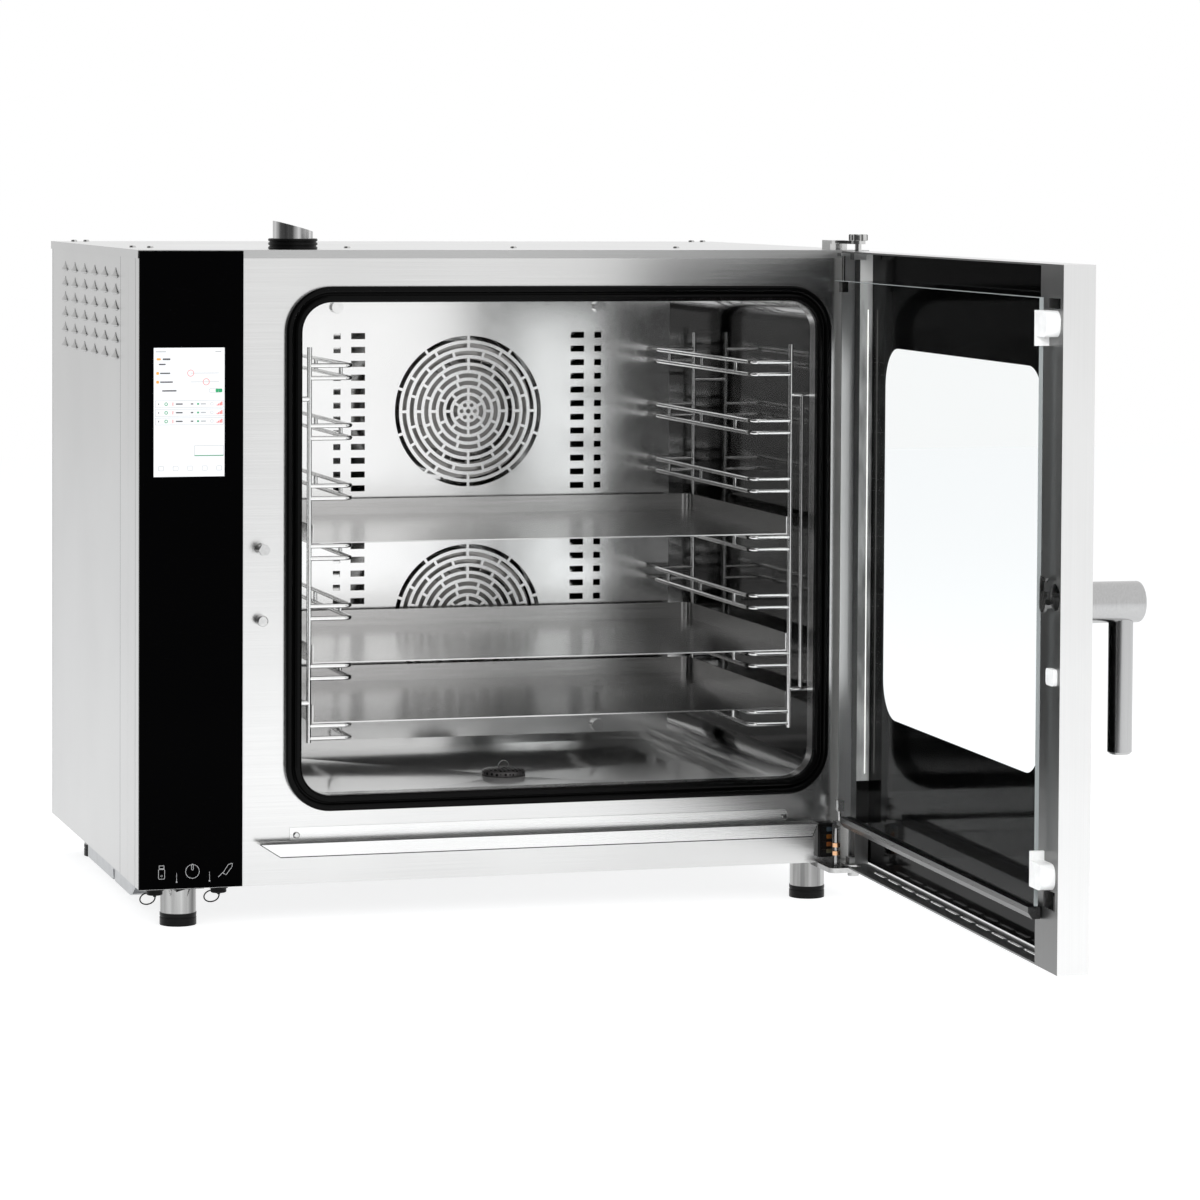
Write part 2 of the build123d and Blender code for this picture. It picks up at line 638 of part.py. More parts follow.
def grille_sketch():
    holes = Circle(3)
    holes += PolarLocations(9, 6) * Circle(2.6)
    for ring, count in enumerate(grille_rings):
        radius = 17.5 + ring * grille_pitch
        band = Circle(radius + grille_slot / 2) - Circle(radius - grille_slot / 2)
        turn = 0 if ring % 2 else 180 / count
        bars = PolarLocations(radius, count, start_angle=turn) * Rectangle(grille_slot * 2, grille_web)
        holes += band - bars
    return holes


def side_slots_sketch():
    slots = Sketch()
    top = (side_slot_rows - 1) * side_slot_pitch / 2
    for row in range(side_slot_rows):
        for side in (-1, 1):
            for reach, width in side_slots.items():
                slots += Pos(side * reach, top - row * side_slot_pitch) * Rectangle(width, side_slot_height)
    return slots


def make_baffle_panel():
    z0 = cavity_z0 + baffle_floor_gap
    z1 = cavity_z1 - baffle_top_gap
    mid = (z0 + z1) / 2
    face = Plane(origin=(mouth_x, baffle_y + sheet, mid), x_dir=(1, 0, 0), z_dir=(0, -1, 0))
    sheet_plan = Rectangle(baffle_width, z1 - z0)
    for z in fan_z:
        sheet_plan -= Pos(0, z - mid) * grille_sketch()
        sheet_plan -= Pos(0, z - mid) * side_slots_sketch()
    for x, z in baffle_screw_places:
        sheet_plan -= Pos(x - mouth_x, z - mid) * Circle(screw_hole + 0.2)
    plate = extrude(face * sheet_plan, sheet)
    half = baffle_width / 2
    wings = [block(mouth_x + s * half, mouth_x + s * (half - sheet), baffle_y + sheet, cavity_y1 - 25, z0, z1)
             for s in (-1, 1)]
    return fuse([plate] + wings)


def make_baffle_screws():
    screws = []
    for x, z in baffle_screw_places:
        head = rod_y(x, z, baffle_y - 8, baffle_y, baffle_screw_radius)
        notches = [Pos(baffle_screw_radius * cos(k * pi / 8), 0, baffle_screw_radius * sin(k * pi / 8))
                   * rod_y(x, z, baffle_y - 8, baffle_y, 0.7) for k in range(16)]
        shank = rod_y(x, z, baffle_y, baffle_y + 12, screw_hole - 0.2)
        screws.append(fuse([cut(head, notches), shank]))
    return group(screws)


# Wire racks: two uprights a side, joined by seven pairs of loops
def level_z(level):
    return z_roof - rack_top_level - (level - 1) * rack_pitch


def make_rack(side):
    x_rod = mouth_x + side * rack_rod_offset
    x_in = x_rod - side * loop_reach
    z_top = level_z(1) + 22
    z_low = level_z(rack_levels) - 20
    x_wall = mouth_x + side * cavity_half
    x_rail = (x_rod + x_wall) / 2 + side * 4
    stud_zs = (level_z(rack_levels) + 28, level_z(1) - 40)
    rods = [rod_z(x_rod, y, z_low, z_top, rack_wire) for y in (rack_y0, rack_y1)]
    posts = [fuse([rod] + [rod_x(y, z, x_rod, x_wall, rack_wire) for z in stud_zs])
             for rod, y in zip(rods, (rack_y0, rack_y1))]
    posts[0] = fuse([posts[0], rod_z(x_rail, rack_y0, stud_zs[0], stud_zs[1], rack_wire - 0.5)])
    ladders = []
    for level in range(1, rack_levels + 1):
        low = level_z(level) - rack_pair_drop
        loops = [tube_along([(x_rod, rack_y0, z), (x_in, rack_y0, z), (x_in, rack_y1, z), (x_rod, rack_y1, z)],
                            rack_wire - 0.3, 10) for z in (level_z(level), low)]
        stays = [rod_z(x_in, y, low, level_z(level), rack_wire - 0.6)
                 for y in (rack_y0 + 60, (rack_y0 + rack_y1) / 2, rack_y1 - 60)]
        ladders.append(cut(fuse(loops + stays), rods))
    return group(posts + ladders)


def make_tray(level):
    z0 = level_z(level) + rack_wire + seat_gap
    x0 = mouth_x - tray_width / 2
    x1 = mouth_x + tray_width / 2
    y0 = rack_y0 - 2
    y1 = y0 + tray_depth
    solid = block(x0, x1, y0, y1, z0, z0 + tray_lip)
    solid = fillet(solid.edges().filter_by(Axis.Z).sort_by(Axis.Y)[-2:], 12)
    hollow = block(x0 + tray_sheet, x1 - tray_sheet, y0 - 1, y1 - tray_sheet, z0 + tray_sheet, z0 + tray_lip)
    hollow = fillet(hollow.edges().filter_by(Axis.Z).sort_by(Axis.Y)[-2:], 12 - tray_sheet)
    return cut(solid, [hollow])


# Fans on their motor shafts, motors, ring heaters and injection pipes
heater_leg = heater_radius * sin(radians(heater_open))
heater_leg_drop = -heater_radius * cos(radians(heater_open))
motor_stud = 42.0
nozzle_x = mouth_x - fan_radius - 14
pipe_radius = 4.0
fan_y0 = baffle_y + sheet + 10
motor_y0 = insulation_y1


def make_fan(z):
    back = rod_y(mouth_x, z, fan_y0 + fan_depth - 2, fan_y0 + fan_depth, fan_radius)
    front_ring = cut(rod_y(mouth_x, z, fan_y0, fan_y0 + 2, fan_radius), [rod_y(mouth_x, z, fan_y0, fan_y0 + 2, fan_radius - 20)])
    hub = rod_y(mouth_x, z, fan_y0 + 4, fan_y0 + fan_depth, 18)
    blades = []
    for k in range(fan_blades):
        blade = block(fan_radius - 26, fan_radius - 2, fan_y0 + 1, fan_y0 + fan_depth - 1, -0.8, 0.8)
        blades.append(Pos(mouth_x, 0, z) * Rot(0, 360 / fan_blades * k, 0) * blade)
    shaft = rod_y(mouth_x, z, fan_y0 + 10, motor_y0 + 40, shaft_radius)
    return fuse([back, front_ring, hub, shaft] + blades)


def make_motors():
    motors = []
    for z in fan_z:
        can = rod_y(mouth_x, z, motor_y0 + 3, motor_y0 + motor_length, motor_radius)
        fins = [cut(rod_y(mouth_x, z, motor_y0 + 12 + 9 * k, motor_y0 + 15 + 9 * k, motor_radius + 5),
                    [rod_y(mouth_x, z, motor_y0, motor_y0 + motor_length, motor_radius - 1)]) for k in range(7)]
        plate = block(mouth_x - 55, mouth_x + 55, motor_y0, motor_y0 + 3, z - 55, z + 55)
        studs = [rod_y(mouth_x + sx * motor_stud, z + sz * motor_stud, cavity_y1 + thin_sheet, motor_y0, 4)
                 for sx in (-1, 1) for sz in (-1, 1)]
        bore = rod_y(mouth_x, z, motor_y0, motor_y0 + 42, shaft_radius + running_clearance)
        motors.append(cut(fuse([can, plate] + fins + studs), [bore]))
    return group(motors)


def make_ring_heaters():
    heaters = []
    for z in fan_z:
        y = fan_y0 + fan_depth / 2
        arc = CenterArc((0, 0), heater_radius, -90 + heater_open, 360 - 2 * heater_open)
        plane = Plane(origin=(mouth_x, y, z), x_dir=(1, 0, 0), z_dir=(0, -1, 0))
        path = plane * arc
        start = Plane(origin=path @ 0, z_dir=path % 0)
        ring = sweep(start * Circle(heater_tube), path=path)
        legs = [rod_y((path @ t).X, (path @ t).Z, y, cavity_y1 + thin_sheet + 30, heater_tube) for t in (0, 1)]
        knees = [Pos((path @ t).X, y, (path @ t).Z) * Sphere(heater_tube) for t in (0, 1)]
        heaters.append(fuse([ring] + legs + knees))
    return group(heaters)


def make_water_line():
    pieces = []
    for k, z in enumerate(fan_z):
        x = inlet_xs[k]
        neck = rod_y(x, inlet_z, y_back - 26, y_back + inlet_reach - inlet_thread, inlet_neck_radius)
        nipple = rod_y(x, inlet_z, y_back + inlet_reach - inlet_thread, y_back + inlet_reach, inlet_radius)
        bore = rod_y(x, inlet_z, y_back - 20, y_back + inlet_reach, inlet_radius - 4)
        coil_y = y_back - 40
        valve = block(x - 14, x + 14, coil_y - 14, y_back - 24, inlet_z - 14, inlet_z + 14)
        coil = rod_z(x, coil_y, inlet_z + 14, inlet_z + 46, 12)
        flange = rod_y(x, inlet_z, y_back - sheet - 3, y_back - sheet, inlet_radius + 4)
        pieces.append(cut(fuse([neck, nipple, valve, coil, flange]), [bore]))
        run_y = coil_y - 10 - 16 * k
        top = inlet_z + 46
        pipe = tube_along([(x, coil_y, top), (x, coil_y, top + 26), (x, run_y, top + 52), (x, run_y, z),
                           (nozzle_x, run_y, z), (nozzle_x, cavity_y1 - 8, z)], pipe_radius, 12)
        pieces.append(pipe)
    return group(pieces)


# Drain: strainer in the floor, pipe below it to the back
def make_drain_strainer():
    z0 = cavity_z0 - floor_fall
    disc = rod_z(mouth_x, drain_y, z0 - 0.8, z0 + 1.0, drain_radius - seat_gap)
    holes = [rod_z(mouth_x + r * cos(2 * pi * k / n), drain_y + r * sin(2 * pi * k / n), z0 - 1, z0 + 1.5, 1.6)
             for r, n in ((12, 8), (18, 12), (23.5, 16)) for k in range(n)]
    knob = rod_z(mouth_x, drain_y, z0 + 1, z0 + 14, 4)
    cap = rod_z(mouth_x, drain_y, z0 + 14, z0 + 19, 8)
    skirt_radius = drain_pipe_radius - drain_pipe_wall - 0.5
    skirt = cut(rod_z(mouth_x, drain_y, z0 - 12, z0, skirt_radius),
                [rod_z(mouth_x, drain_y, z0 - 12, z0 - 0.8, skirt_radius - sheet)])
    return fuse([cut(disc, holes), knob, cap, skirt])


def make_drain_pipe():
    z_top = cavity_z0 - floor_slab
    end_y = y_back + drain_outlet_reach
    inner_radius = drain_pipe_radius - drain_pipe_wall
    route = [(mouth_x, drain_y, z_top), (mouth_x, drain_y, drain_outlet_height), (mouth_x, end_y, drain_outlet_height)]
    pipe = tube_along(route, drain_pipe_radius, 25)
    bore = tube_along(route, inner_radius, 25)
    spigot = rod_y(mouth_x, drain_outlet_height, end_y - drain_spigot_length, end_y, drain_spigot_radius)
    flange = rod_z(mouth_x, drain_y, z_top - 3, z_top, drain_radius + 2)
    ledge = rod_z(mouth_x, drain_y, z_top, z_top + 0.1, drain_radius)
    well = rod_z(mouth_x, drain_y, z_top - 4, z_top + 1, inner_radius)
    return cut(fuse([pipe, flange, spigot]), [bore, well, ledge])


# Steam duct over the cavity, chimney pipe and its rubber boot
steam_radius = 16.0
duct_drop_x = mouth_x - cavity_half + 60
duct_z0 = cavity_z1 + thin_sheet + insulation_thick
duct_z1 = duct_z0 + 22


def make_steam_duct():
    x0 = chimney_x - chimney_radius - 4
    x1 = duct_drop_x + steam_radius + 6
    box = block(x0, x1, chimney_y - 28, chimney_y + 28, duct_z0, duct_z1)
    room = block(x0 + sheet, x1 - sheet, chimney_y - 28 + sheet, chimney_y + 28 - sheet, duct_z0 + sheet, duct_z1 - sheet)
    drop = rod_z(duct_drop_x, chimney_y, cavity_z1 + thin_sheet, duct_z0 + sheet, steam_radius)
    drop_bore = rod_z(duct_drop_x, chimney_y, cavity_z1 + thin_sheet, duct_z0 + sheet, steam_radius - sheet)
    pipe_hole = rod_z(chimney_x, chimney_y, duct_z1 - sheet, duct_z1, chimney_radius - chimney_wall)
    return cut(fuse([box, drop]), [room, drop_bore, pipe_hole])


def make_chimney():
    z1 = z_roof + chimney_high_side
    tube = cut(rod_z(chimney_x, chimney_y, duct_z1, z1, chimney_radius),
               [rod_z(chimney_x, chimney_y, duct_z1, z1, chimney_radius - chimney_wall)])
    drop = chimney_high_side - chimney_low_side
    wedge = Plane(origin=(chimney_x, chimney_y + 40, z1), x_dir=(1, 0, 0), z_dir=(0, -1, 0)) * make_face(
        Polyline((-chimney_radius, 0), (chimney_radius, -drop), (chimney_radius + 5, -drop), (chimney_radius + 5, 5),
                 (-chimney_radius, 5), close=True))
    return cut(tube, [extrude(wedge, 80)])


def make_chimney_boot():
    boot = rod_z(chimney_x, chimney_y, z_roof, z_roof + boot_height, boot_radius - 1.5)
    ribs = [fillet(rod_z(chimney_x, chimney_y, z_roof + h, z_roof + h + 3.4, boot_radius).edges(), 1.4)
            for h in (0, boot_height * 0.38, boot_height - 3.4)]
    bore = rod_z(chimney_x, chimney_y, z_roof, z_roof + boot_height, chimney_radius + 0.02)
    return cut(fuse([boot] + ribs), [bore])


# Feet: steel sleeves on black height adjusting bases
def make_foot_sleeves():
    sleeves = []
    for x in foot_xs:
        for y in foot_ys:
            tube = rod_z(x, y, foot_base_height - 1, z_base, foot_radius - 0.5)
            thread = rod_z(x, y, foot_base_height - 1, z_base - 2, 6)
            stud = rod_z(x, y, z_base, z_base + 14, 4.8)
            sleeves.append(fuse([cut(tube, [thread]), stud]))
    return group(sleeves)


def make_foot_bases():
    bases = []
    for x in foot_xs:
        for y in foot_ys:
            pad = rod_z(x, y, 0, foot_base_height - 1, foot_radius)
            groove = cut(rod_z(x, y, foot_base_height - 7, foot_base_height - 5, foot_radius + 1),
                         [rod_z(x, y, foot_base_height - 7, foot_base_height - 5, foot_radius - 1.2)])
            screw = rod_z(x, y, foot_base_height - 1, foot_base_height + 22, 5.9)
            bases.append(fuse([cut(pad, [groove]), screw]))
    return group(bases)


def make_runner_bracket():
    x0 = x_left + 14
    web = block(x0, x0 + 2, y_front + 95, y_front + 430, z_base - 26, z_base)
    foot = block(x0, x0 + 22, y_front + 95, y_front + 430, z_base - 26, z_base - 24)
    head = block(x0, x0 + 22, y_front + 95, y_front + 430, z_base - 2, z_base)
    notch = block(x0 - 1, x0 + 23, y_front + 232, y_front + 246, z_base - 27, z_base - 12)
    ramp = Plane(origin=(x0 - 1, y_front + 95, z_base - 26), x_dir=(0, 1, 0), z_dir=(1, 0, 0)) * make_face(
        Polyline((0, 0), (30, 0), (0, 16), close=True))
    return cut(fuse([web, foot, head]), [notch, extrude(ramp, 24)])


# Striker, door switch button and what the hinge side carries
def make_striker_pin():
    stem = rod_y(striker_x, striker_height, y_front - striker_reach, y_front + 6, striker_stem)
    plane = Plane(origin=(striker_x, y_front - striker_reach + striker_head_thick, striker_height),
                  x_dir=(1, 0, 0), z_dir=(0, -1, 0))
    head = extrude(plane * RegularPolygon(striker_head / 2, 6), striker_head_thick)
    nut = rod_y(striker_x, striker_height, y_front + sheet, y_front + sheet + 4, 8)
    collar = rod_y(striker_x, striker_height, y_front - 3, y_front, 7)
    return fuse([stem, head, nut, collar])


def make_door_button():
    plunger = rod_y(striker_x, button_height, y_front - button_reach, y_front + sheet + 12, button_radius)
    tip = plunger.edges().sort_by(Axis.Y)[:1]
    plunger = fillet(tip, 1.5)
    collar = rod_y(striker_x, button_height, y_front + sheet, y_front + sheet + 2, button_radius + 2)
    return fuse([plunger, collar])


def make_hinge_bracket_top():
    x0 = hinge_x - 24
    z0 = z_roof + hinge_foot_height
    foot = block(x0, x0 + 22, y_front, y_front + 30, z_roof, z0)
    saddle = block(x0, x0 + 22, y_front - 6, y_front + 30, z0, z0 + hinge_arm)
    neck = block(hinge_x - hinge_eye_radius, hinge_x + hinge_eye_radius, hinge_y, y_front + 10, z0, z0 + hinge_arm)
    eye = rod_z(hinge_x, hinge_y, z0, z0 + hinge_arm, hinge_eye_radius)
    return cut(fuse([foot, saddle, neck, eye]), [rod_z(hinge_x, hinge_y, z0, z0 + hinge_arm, hinge_pin_radius)])


def make_hinge_bracket_bottom():
    z0 = z_base - hinge_plate
    plate = block(hinge_x - 35, x_right - roof_overhang, hinge_y - 16, y_front + 24, z0, z_base)
    plate = fillet(plate.edges().filter_by(Axis.Z).sort_by(Axis.Y)[:2], 10)
    return cut(plate, [rod_z(hinge_x, hinge_y, z0, z_base, hinge_pin_radius)])


def make_hinge_pins():
    top = rod_z(hinge_x, hinge_y, door_z1 - hinge_boss_height, z_roof + hinge_foot_height + hinge_arm, hinge_pin_radius)
    bottom = rod_z(hinge_x, hinge_y, z_base - hinge_plate, door_z0 + hinge_boss_height, hinge_pin_radius)
    head = rod_z(hinge_x, hinge_y, z_base - hinge_plate - 6, z_base - hinge_plate, hinge_pin_radius + 3)
    return group([top, fuse([bottom, head])])


def make_hinge_nut():
    z0 = z_roof + hinge_foot_height + hinge_arm
    nut = rod_z(hinge_x, hinge_y, z0, z0 + hinge_nut_height, hinge_nut_radius)
    nut = chamfer(nut.edges(), 1)
    grooves = [rod_z(hinge_x + hinge_nut_radius * cos(k * pi / 4), hinge_y + hinge_nut_radius * sin(k * pi / 4),
                     z0, z0 + hinge_nut_height, 2.4) for k in range(8)]
    return cut(nut, grooves)


contact_x = hinge_x - contact_from_hinge_x
contact_y = hinge_y + contact_from_hinge_y


def make_contact_block():
    z0 = z_base + 8
    body = block(contact_x - 17, contact_x + 3, y_front - 10, y_front, z0, z0 + 41)
    body = chamfer(body.edges().filter_by(Axis.Z).sort_by(Axis.Y)[:2], 2)
    pads = [block(contact_x - 13, contact_x - 1, y_front - 11.5, y_front - 10, z0 + 3 + 9.4 * k, z0 + 9.6 + 9.4 * k)
            for k in range(4)]
    return group([body] + pads)


def make_contact_rings():
    post = rod_z(contact_x, contact_y, z_base, z_base + contact_post_height, 2.5)
    rings = [cut(rod_z(contact_x, contact_y, z_base + h, z_base + h + 5, contact_ring_radius),
                 [rod_z(contact_x, contact_y, z_base + h, z_base + h + 5, 2.5)]) for h in (13, 23)]
    return group([post] + rings)


def make_cable_gland():
    x, z = rear_service["gland"]
    barrel = rod_y(x, z, y_back - 26, y_back + 8, 12)
    nut = rod_y(x, z, y_back, y_back + 8, 17)
    lock = rod_y(x, z, y_back - sheet - 5, y_back - sheet, 17)
    bore = rod_y(x, z, y_back - 26, y_back + 8, 7)
    terminals = block(x - 30, x + 30, y_back - 62, y_back - 40, z_base + sheet, z_base + 50)
    return group([cut(fuse([barrel, nut, lock]), [bore]), terminals])


def make_panel_screws():
    screws = [dome_screw_z(x, y, z_roof) for x, y in roof_screw_places]
    screws += [dome_screw_y(x, gutter_screw_z, y_front - sheet) for x in gutter_screw_xs]
    return group(screws)


# Door, modelled shut and then swung to its rest angle
def at(distance):
    return door_x1 - distance


def swing(shape):
    turn = Pos(hinge_x, hinge_y, 0) * Rot(0, 0, door_rest_angle) * Pos(-hinge_x, -hinge_y, 0)
    return group([turn * solid for solid in shape.solids()])


glass_x0 = at(door_width - inner_glass_free_side)
glass_x1 = at(inner_glass_hinge_side)
glass_z0 = door_z0 + inner_glass_bottom
glass_z1 = door_z1 - inner_glass_top
glass_y = rim_y + inner_glass_proud
glass_back = glass_y - inner_glass_thick
pivot_x = at(glass_pivot_from_edge)
pivot_y = rim_y + glass_pivot_proud
lug_top = door_z1 - door_sheet
lug_low = z_base + contact_post_height + 4
clip_zs = (door_z1 - clip_top, door_z0 + clip_bottom)
pane_back = door_out_y + outer_glass_thick
boss_spans = ((door_z0, door_z0 + hinge_boss_height), (door_z1 - hinge_boss_height, door_z1))


def hinge_boss(room, za, zb):
    half = hinge_boss_half + room
    return block(hinge_x - half, hinge_x + half, hinge_y - half, hinge_y + half, za, zb)


def contact_path():
    """The room that the contact post needs as the door turns round its hinge."""
    reach = (contact_from_hinge_x ** 2 + contact_from_hinge_y ** 2) ** 0.5
    z0 = door_z0 - 1
    z1 = z_base + contact_post_height + 1
    wide = rod_z(hinge_x, hinge_y, z0, z1, reach + contact_ring_radius + 1.2)
    core = rod_z(hinge_x, hinge_y, z0, z1, reach - contact_ring_radius - 1.2)
    behind = block(hinge_x - 60, hinge_x + 60, hinge_y - 60, hinge_y, z0, z1)
    return cut(wide, [core, behind])


def make_door_frame():
    outer = block(door_x0, door_x1, door_out_y, rim_y, door_z0, door_z1)
    inner = block(door_x0 + door_sheet, door_x1 - door_sheet, door_out_y, rim_y, door_z0 + door_sheet, door_z1 - door_sheet)
    flange_x = door_x0 + flange_width
    flange = block(door_x0, flange_x, rim_y - door_sheet, rim_y, door_z0, door_z1)
    fold = block(flange_x - door_sheet, flange_x, rim_y - flange_fold, rim_y, door_z0, door_z1)
    bush = rod_y(spindle_x, handle_height, pane_back, rim_y, spindle_radius + 4)
    bore = rod_y(spindle_x, handle_height, door_out_y, rim_y, spindle_radius + running_clearance)
    bosses = [hinge_boss(0, za, zb) for za, zb in boss_spans]
    pin_bores = [rod_z(hinge_x, hinge_y, za, zb, hinge_pin_radius + running_clearance) for za, zb in boss_spans]
    lugs = [block(pivot_x - 5, door_x1, pivot_y - 7, pivot_y + 5, za, za + glass_lug_thick)
            for za in (lug_low, lug_top - glass_lug_thick)]
    lug_bores = [rod_z(pivot_x, pivot_y, za, za + glass_lug_thick, glass_pivot_radius + running_clearance)
                 for za in (lug_low, lug_top - glass_lug_thick)]
    slot_pitch = (door_width - 190) / (vent_slots - 1)
    slot = extrude(Pos(0, rim_y - door_thick / 2, door_z0) * SlotOverall(vent_slot_length, vent_slot_width), door_sheet)
    slots = [Pos(at(115 + k * slot_pitch), 0, 0) * slot for k in range(vent_slots)]
    striker_hole = rod_y(striker_x, striker_height, rim_y - door_sheet, rim_y, striker_room)
    clip_windows = [block(door_x0 + clip_from_edge + 1, glass_x0 - 3, rim_y - door_sheet, rim_y, za, zb)
                    for za, zb in ((clip_zs[0] + clip_height + 2, glass_z1), (glass_z0 + 2, clip_zs[1] - 2))]
    frame = fuse([cut(outer, [inner]), flange, fold, bush] + bosses + lugs)
    return cut(frame, [bore, striker_hole, contact_path()] + pin_bores + lug_bores + slots + clip_windows)


def make_outer_glass():
    gap = door_sheet + seat_gap
    pane = block(door_x0 + gap, door_x1 - gap, door_out_y, pane_back - seat_gap, door_z0 + gap, door_z1 - gap)
    return cut(pane, [rod_y(spindle_x, handle_height, door_out_y, pane_back, spindle_radius + 3)])


def make_inner_glass():
    pane = block(glass_x0, glass_x1, glass_back, glass_y, glass_z0, glass_z1)
    return fillet(pane.edges().filter_by(Axis.Y), 6)


def make_glass_pivots():
    pivots = []
    for za, zb, pa, pb in ((glass_z1 - 14, glass_z1 - 1, glass_z1 - 1, lug_top),
                           (glass_z0 + 1, glass_z0 + 14, lug_low, glass_z0 + 1)):
        foot = block(pivot_x - 7, pivot_x + 5, pivot_y - 4, glass_back, za, zb)
        pivots.append(fuse([foot, rod_z(pivot_x, pivot_y, pa, pb, glass_pivot_radius)]))
    return group(pivots)


def make_drip_rail():
    x0 = glass_x0 + 3
    x1 = at(55)
    z0 = glass_z0 - rail_height
    y0 = rim_y + rail_gap
    y1 = y0 + rail_depth
    rail = block(x0, x1, y0, y1, z0, glass_z0 + 0.5)
    slot = block(x0, x1, glass_back, glass_y, glass_z0, glass_z0 + 0.5)
    bevel = Plane(origin=(x0, y1, z0), x_dir=(0, 1, 0), z_dir=(1, 0, 0)) * make_face(
        Polyline((0, 0), (-5, 0), (0, 7), close=True))
    return cut(rail, [slot, extrude(bevel, x1 - x0)])


def make_led_bar():
    x0 = at(led_from_edge + led_width)
    x1 = at(led_from_edge)
    z0 = door_z0 + door_sheet + seat_gap
    z1 = door_z1 - door_sheet - seat_gap
    bar = block(x0, x1, pane_back, pane_back + led_depth, z0, z1)
    strip_y = pane_back + 2
    strip_z = door_z0 + led_strip_low
    strip = block(x0 - 1, x0, strip_y, strip_y + led_strip_width, strip_z, strip_z + led_strip_length)
    return cut(fuse([bar, strip]), [hinge_boss(seat_gap, za, zb) for za, zb in boss_spans])


def make_door_clips():
    clips = []
    x0 = door_x0 + clip_from_edge
    x1 = glass_x0 - seat_gap
    for za, nib_z in ((clip_zs[0], clip_zs[0] - clip_nib_length), (clip_zs[1], clip_zs[1] + clip_height)):
        body = block(x0, x1, rim_y, rim_y + clip_proud, za, za + clip_height)
        body = fillet(body.edges().filter_by(Axis.Y).sort_by(Axis.X)[:2], clip_height * 0.4)
        nib = block(x1 - clip_nib_width, x1, rim_y, rim_y + clip_proud, nib_z, nib_z + clip_nib_length)
        clips.append(fuse([body, nib]))
        clips.append(rod_y(glass_x0 + 9, za + clip_height / 2, rim_y, glass_back - seat_gap, 6))
    bumper_y = y_front - button_reach - seat_gap
    bumper = block(striker_x - 9, striker_x + 14, rim_y, bumper_y, button_height - 9, button_height + 9)
    clips.append(fillet(bumper.edges().filter_by(Axis.Y), 4))
    return group(clips)


# Handle: barrel and lever outside, spindle and hook inside
def make_handle_boss():
    y1 = door_out_y - seat_gap
    boss = rod_y(spindle_x, handle_height, y1 - boss_length, y1, boss_radius)
    boss = fillet(boss.edges().sort_by(Axis.Y)[:1], boss_edge)
    return cut(boss, [rod_y(spindle_x, handle_height, y1 - 30, y1, spindle_radius)])


def make_handle_lever():
    y = door_out_y - seat_gap - lever_standoff
    lever = rod_z(spindle_x, y, handle_height - lever_length, handle_height, lever_radius)
    lever = chamfer(lever.edges().sort_by(Axis.Z)[:1], 2.5)
    return cut(lever, [rod_y(spindle_x, handle_height, y - 60, y + 60, boss_radius)])


def make_latch_hook():
    hook_y = y_front - striker_reach + striker_head_thick + 3
    dx = striker_x - spindle_x
    dz = striker_height - handle_height
    reach = (dx * dx + dz * dz) ** 0.5
    latched = degrees(atan2(dz, dx)) - 90
    slot = striker_stem + 0.6
    arm = Polyline((-5, 0), (-5, reach - slot - 1.9), (slot, reach - slot - 1.9), (slot, reach + slot), (-7, reach + slot),
                   (-7, reach + 9), (9, reach + 9), (9, 6), (5, 0), close=True)
    plane = Plane(origin=(0, hook_thick, 0), x_dir=(1, 0, 0), z_dir=(0, -1, 0))
    plate = extrude(plane * make_face(arm), hook_thick)
    plate = Pos(spindle_x, hook_y, handle_height) * Rot(0, hook_swing - latched, 0) * plate
    spindle = rod_y(spindle_x, handle_height, door_out_y - 29, hook_y + hook_thick, spindle_radius)
    hub = rod_y(spindle_x, handle_height, hook_y, hook_y + hook_thick, 9.5)
    return fuse([spindle, hub, plate])


oven_parts = {
    "roof_panel": make_roof,
    "side_panel_left": make_side_panel_left,
    "side_panel_right": make_side_panel_right,
    "rear_panel": make_rear_panel,
    "base_pan": make_base_pan,
    "front_fascia": make_front_fascia,
    "control_housing": make_control_housing,
    "control_glass": make_control_glass,
    "touch_display": make_touch_display,
    "controller_board": make_controller_board,
    "power_board": make_power_board,
    "port_sockets": make_port_sockets,
    "switch_housing": make_switch_housing,
    "power_rocker": make_power_rocker,
    "usb_cap": lambda: make_port_cap(port_xs[0]),
    "probe_cap": lambda: make_port_cap(port_xs[2]),
    "cavity_shell": make_cavity_shell,
    "cavity_insulation": make_insulation,
    "door_gasket": make_door_gasket,
    "drip_gutter": make_drip_gutter,
    "baffle_panel": make_baffle_panel,
    "baffle_screws": make_baffle_screws,
    "rack_left": lambda: make_rack(-1),
    "rack_right": lambda: make_rack(1),
    "tray_upper": lambda: make_tray(tray_levels["tray_upper"]),
    "tray_middle": lambda: make_tray(tray_levels["tray_middle"]),
    "tray_lower": lambda: make_tray(tray_levels["tray_lower"]),
    "fan_upper": lambda: make_fan(fan_z[0]),
    "fan_lower": lambda: make_fan(fan_z[1]),
    "fan_motors": make_motors,
    "ring_heaters": make_ring_heaters,
    "water_line": make_water_line,
    "drain_strainer": make_drain_strainer,
    "drain_pipe": make_drain_pipe,
    "steam_duct": make_steam_duct,
    "chimney_pipe": make_chimney,
    "chimney_boot": make_chimney_boot,
    "foot_sleeves": make_foot_sleeves,
    "foot_bases": make_foot_bases,
    "runner_bracket": make_runner_bracket,
    "striker_pin": make_striker_pin,
    "door_button": make_door_button,
    "hinge_bracket_top": make_hinge_bracket_top,
    "hinge_bracket_bottom": make_hinge_bracket_bottom,
    "hinge_pins": make_hinge_pins,
    "hinge_nut": make_hinge_nut,
    "contact_block": make_contact_block,
    "contact_rings": make_contact_rings,
    "cable_gland": make_cable_gland,
    "panel_screws": make_panel_screws,
}
